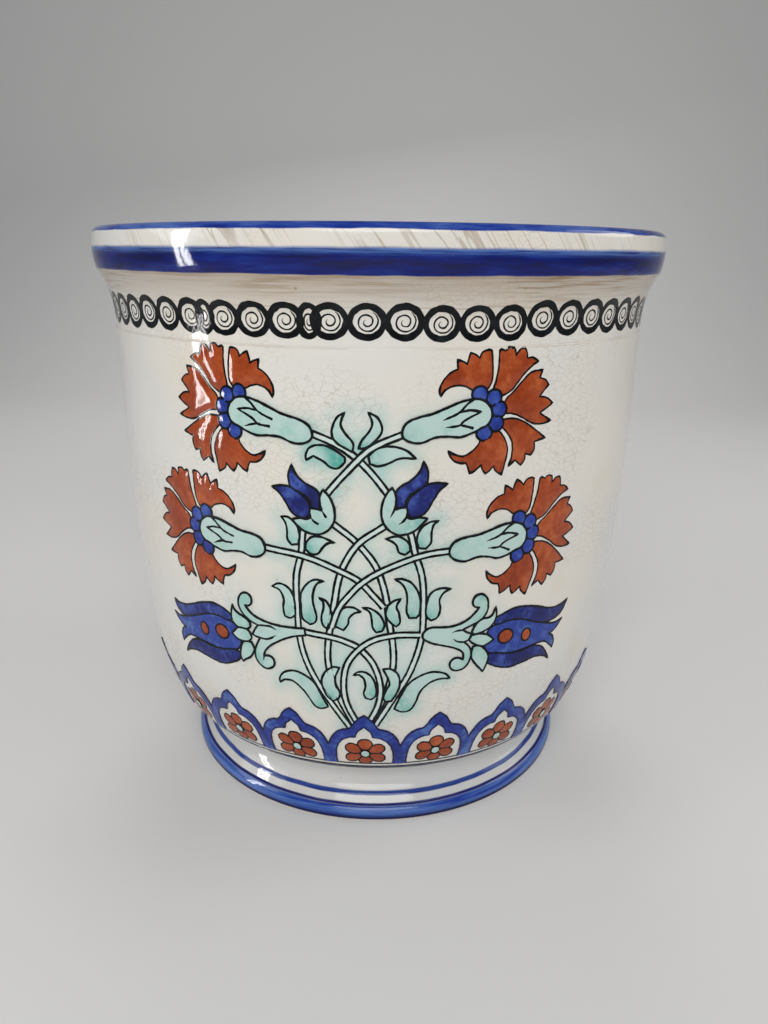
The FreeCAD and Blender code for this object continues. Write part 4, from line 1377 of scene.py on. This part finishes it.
# Studio: pale sweep, soft lamps, camera at the photograph's angle
studio = {
    "floorColour": (0.70, 0.69, 0.67, 1),
    "floorRoughness": 0.7,
    "floorDrop": 0.0001,       # metres under the stand, so the two faces don't meet
    "world": (0.90, 0.93, 1.0, 1),
    "worldStrength": 0.24,
    # name, place, target, size, shape, power, and what the lamp gives
    "lamps": [
        ("windowNear", (-0.718, -0.329, 0.27), (0.0, 0.0, 0.18), (0.034, 0.5), "RECTANGLE", 1.8, "gloss"),
        ("windowFar", (-0.737, -0.284, 0.27), (0.0, 0.0, 0.18), (0.030, 0.5), "RECTANGLE", 1.5, "gloss"),
        ("leftLamp", (-1.0, -0.35, 0.60), (0.0, 0.0, 0.15), (0.6, 0.6), "ELLIPSE", 2.6, "both"),
        ("frontLamp", (0.05, -1.30, 0.95), (0.0, 0.0, 0.14), (1.2, 0.7), "ELLIPSE", 13.8, "both"),
        ("sideLamp", (1.05, 0.15, 0.75), (0.0, 0.0, 0.15), (0.7, 0.7), "ELLIPSE", 3.3, "both"),
        ("backLamp", (-0.15, 1.25, 1.0), (0.0, 0.0, 0.14), (1.0, 0.6), "ELLIPSE", 6.0, "diffuse"),
    ],
}


def makeSweep():
    half, front, depth, rise, bend, steps = 2.5, -3.0, 1.6, 2.2, 0.6, 12
    line = [(front, 0.0), (depth - bend, 0.0)]
    for step in range(1, steps + 1):
        angle = math.radians(90 * step / steps)
        line.append((depth - bend + bend * math.sin(angle), bend - bend * math.cos(angle)))
    line.append((depth, rise))
    points = [(side * half, y, z - studio["floorDrop"]) for y, z in line for side in (-1, 1)]
    faces = [(2 * i, 2 * i + 1, 2 * i + 3, 2 * i + 2) for i in range(len(line) - 1)]
    sweep = newPiece("sweep", points, [], faces)
    for face in sweep.data.polygons:
        face.use_smooth = True
    material = bpy.data.materials.new("paleSweep")
    material.use_nodes = True
    shader = material.node_tree.nodes["Principled BSDF"]
    shader.inputs["Base Color"].default_value = studio["floorColour"]
    shader.inputs["Roughness"].default_value = studio["floorRoughness"]
    sweep.data.materials.append(material)


def makeLamp(name, place, target, size, shape, power, gives):
    light = bpy.data.lights.new(name, "AREA")
    light.shape = shape
    light.size, light.size_y = size
    light.energy = power
    lamp = bpy.data.objects.new(name, light)
    lamp.location = place
    lamp.rotation_euler = (Vector(target) - Vector(place)).to_track_quat("-Z", "Y").to_euler()
    lamp.visible_diffuse = gives != "gloss"
    lamp.visible_glossy = gives != "diffuse"
    scene.collection.objects.link(lamp)


makeSweep()
for lamp in studio["lamps"]:
    makeLamp(*lamp)
world = bpy.data.worlds.new("studioWorld")
world.use_nodes = True
background = world.node_tree.nodes["Background"]
background.inputs["Color"].default_value = studio["world"]
background.inputs["Strength"].default_value = studio["worldStrength"]
scene.world = world

photoView = {
    "turn": 2.9,                            # degrees round the pot, to bring the spray to the front
    "place": (0.00377, -0.4201, 0.2652),    # metres
    "tilt": 71.58,
    "roll": 0.58,
    "lens": 27.07,
    "sensor": 36.0,
}
camera = bpy.data.objects.new("photoCamera", bpy.data.cameras.new("photoCamera"))
camera.data.lens = photoView["lens"]
camera.data.sensor_width = photoView["sensor"]
camera.data.clip_start = 0.01
aroundPot = Matrix.Rotation(math.radians(photoView["turn"]), 4, "Z")
camera.matrix_world = (aroundPot @ Matrix.Translation(photoView["place"])
                       @ Matrix.Rotation(math.radians(photoView["tilt"]), 4, "X")
                       @ Matrix.Rotation(math.radians(photoView["roll"]), 4, "Z"))
scene.collection.objects.link(camera)
scene.camera = camera
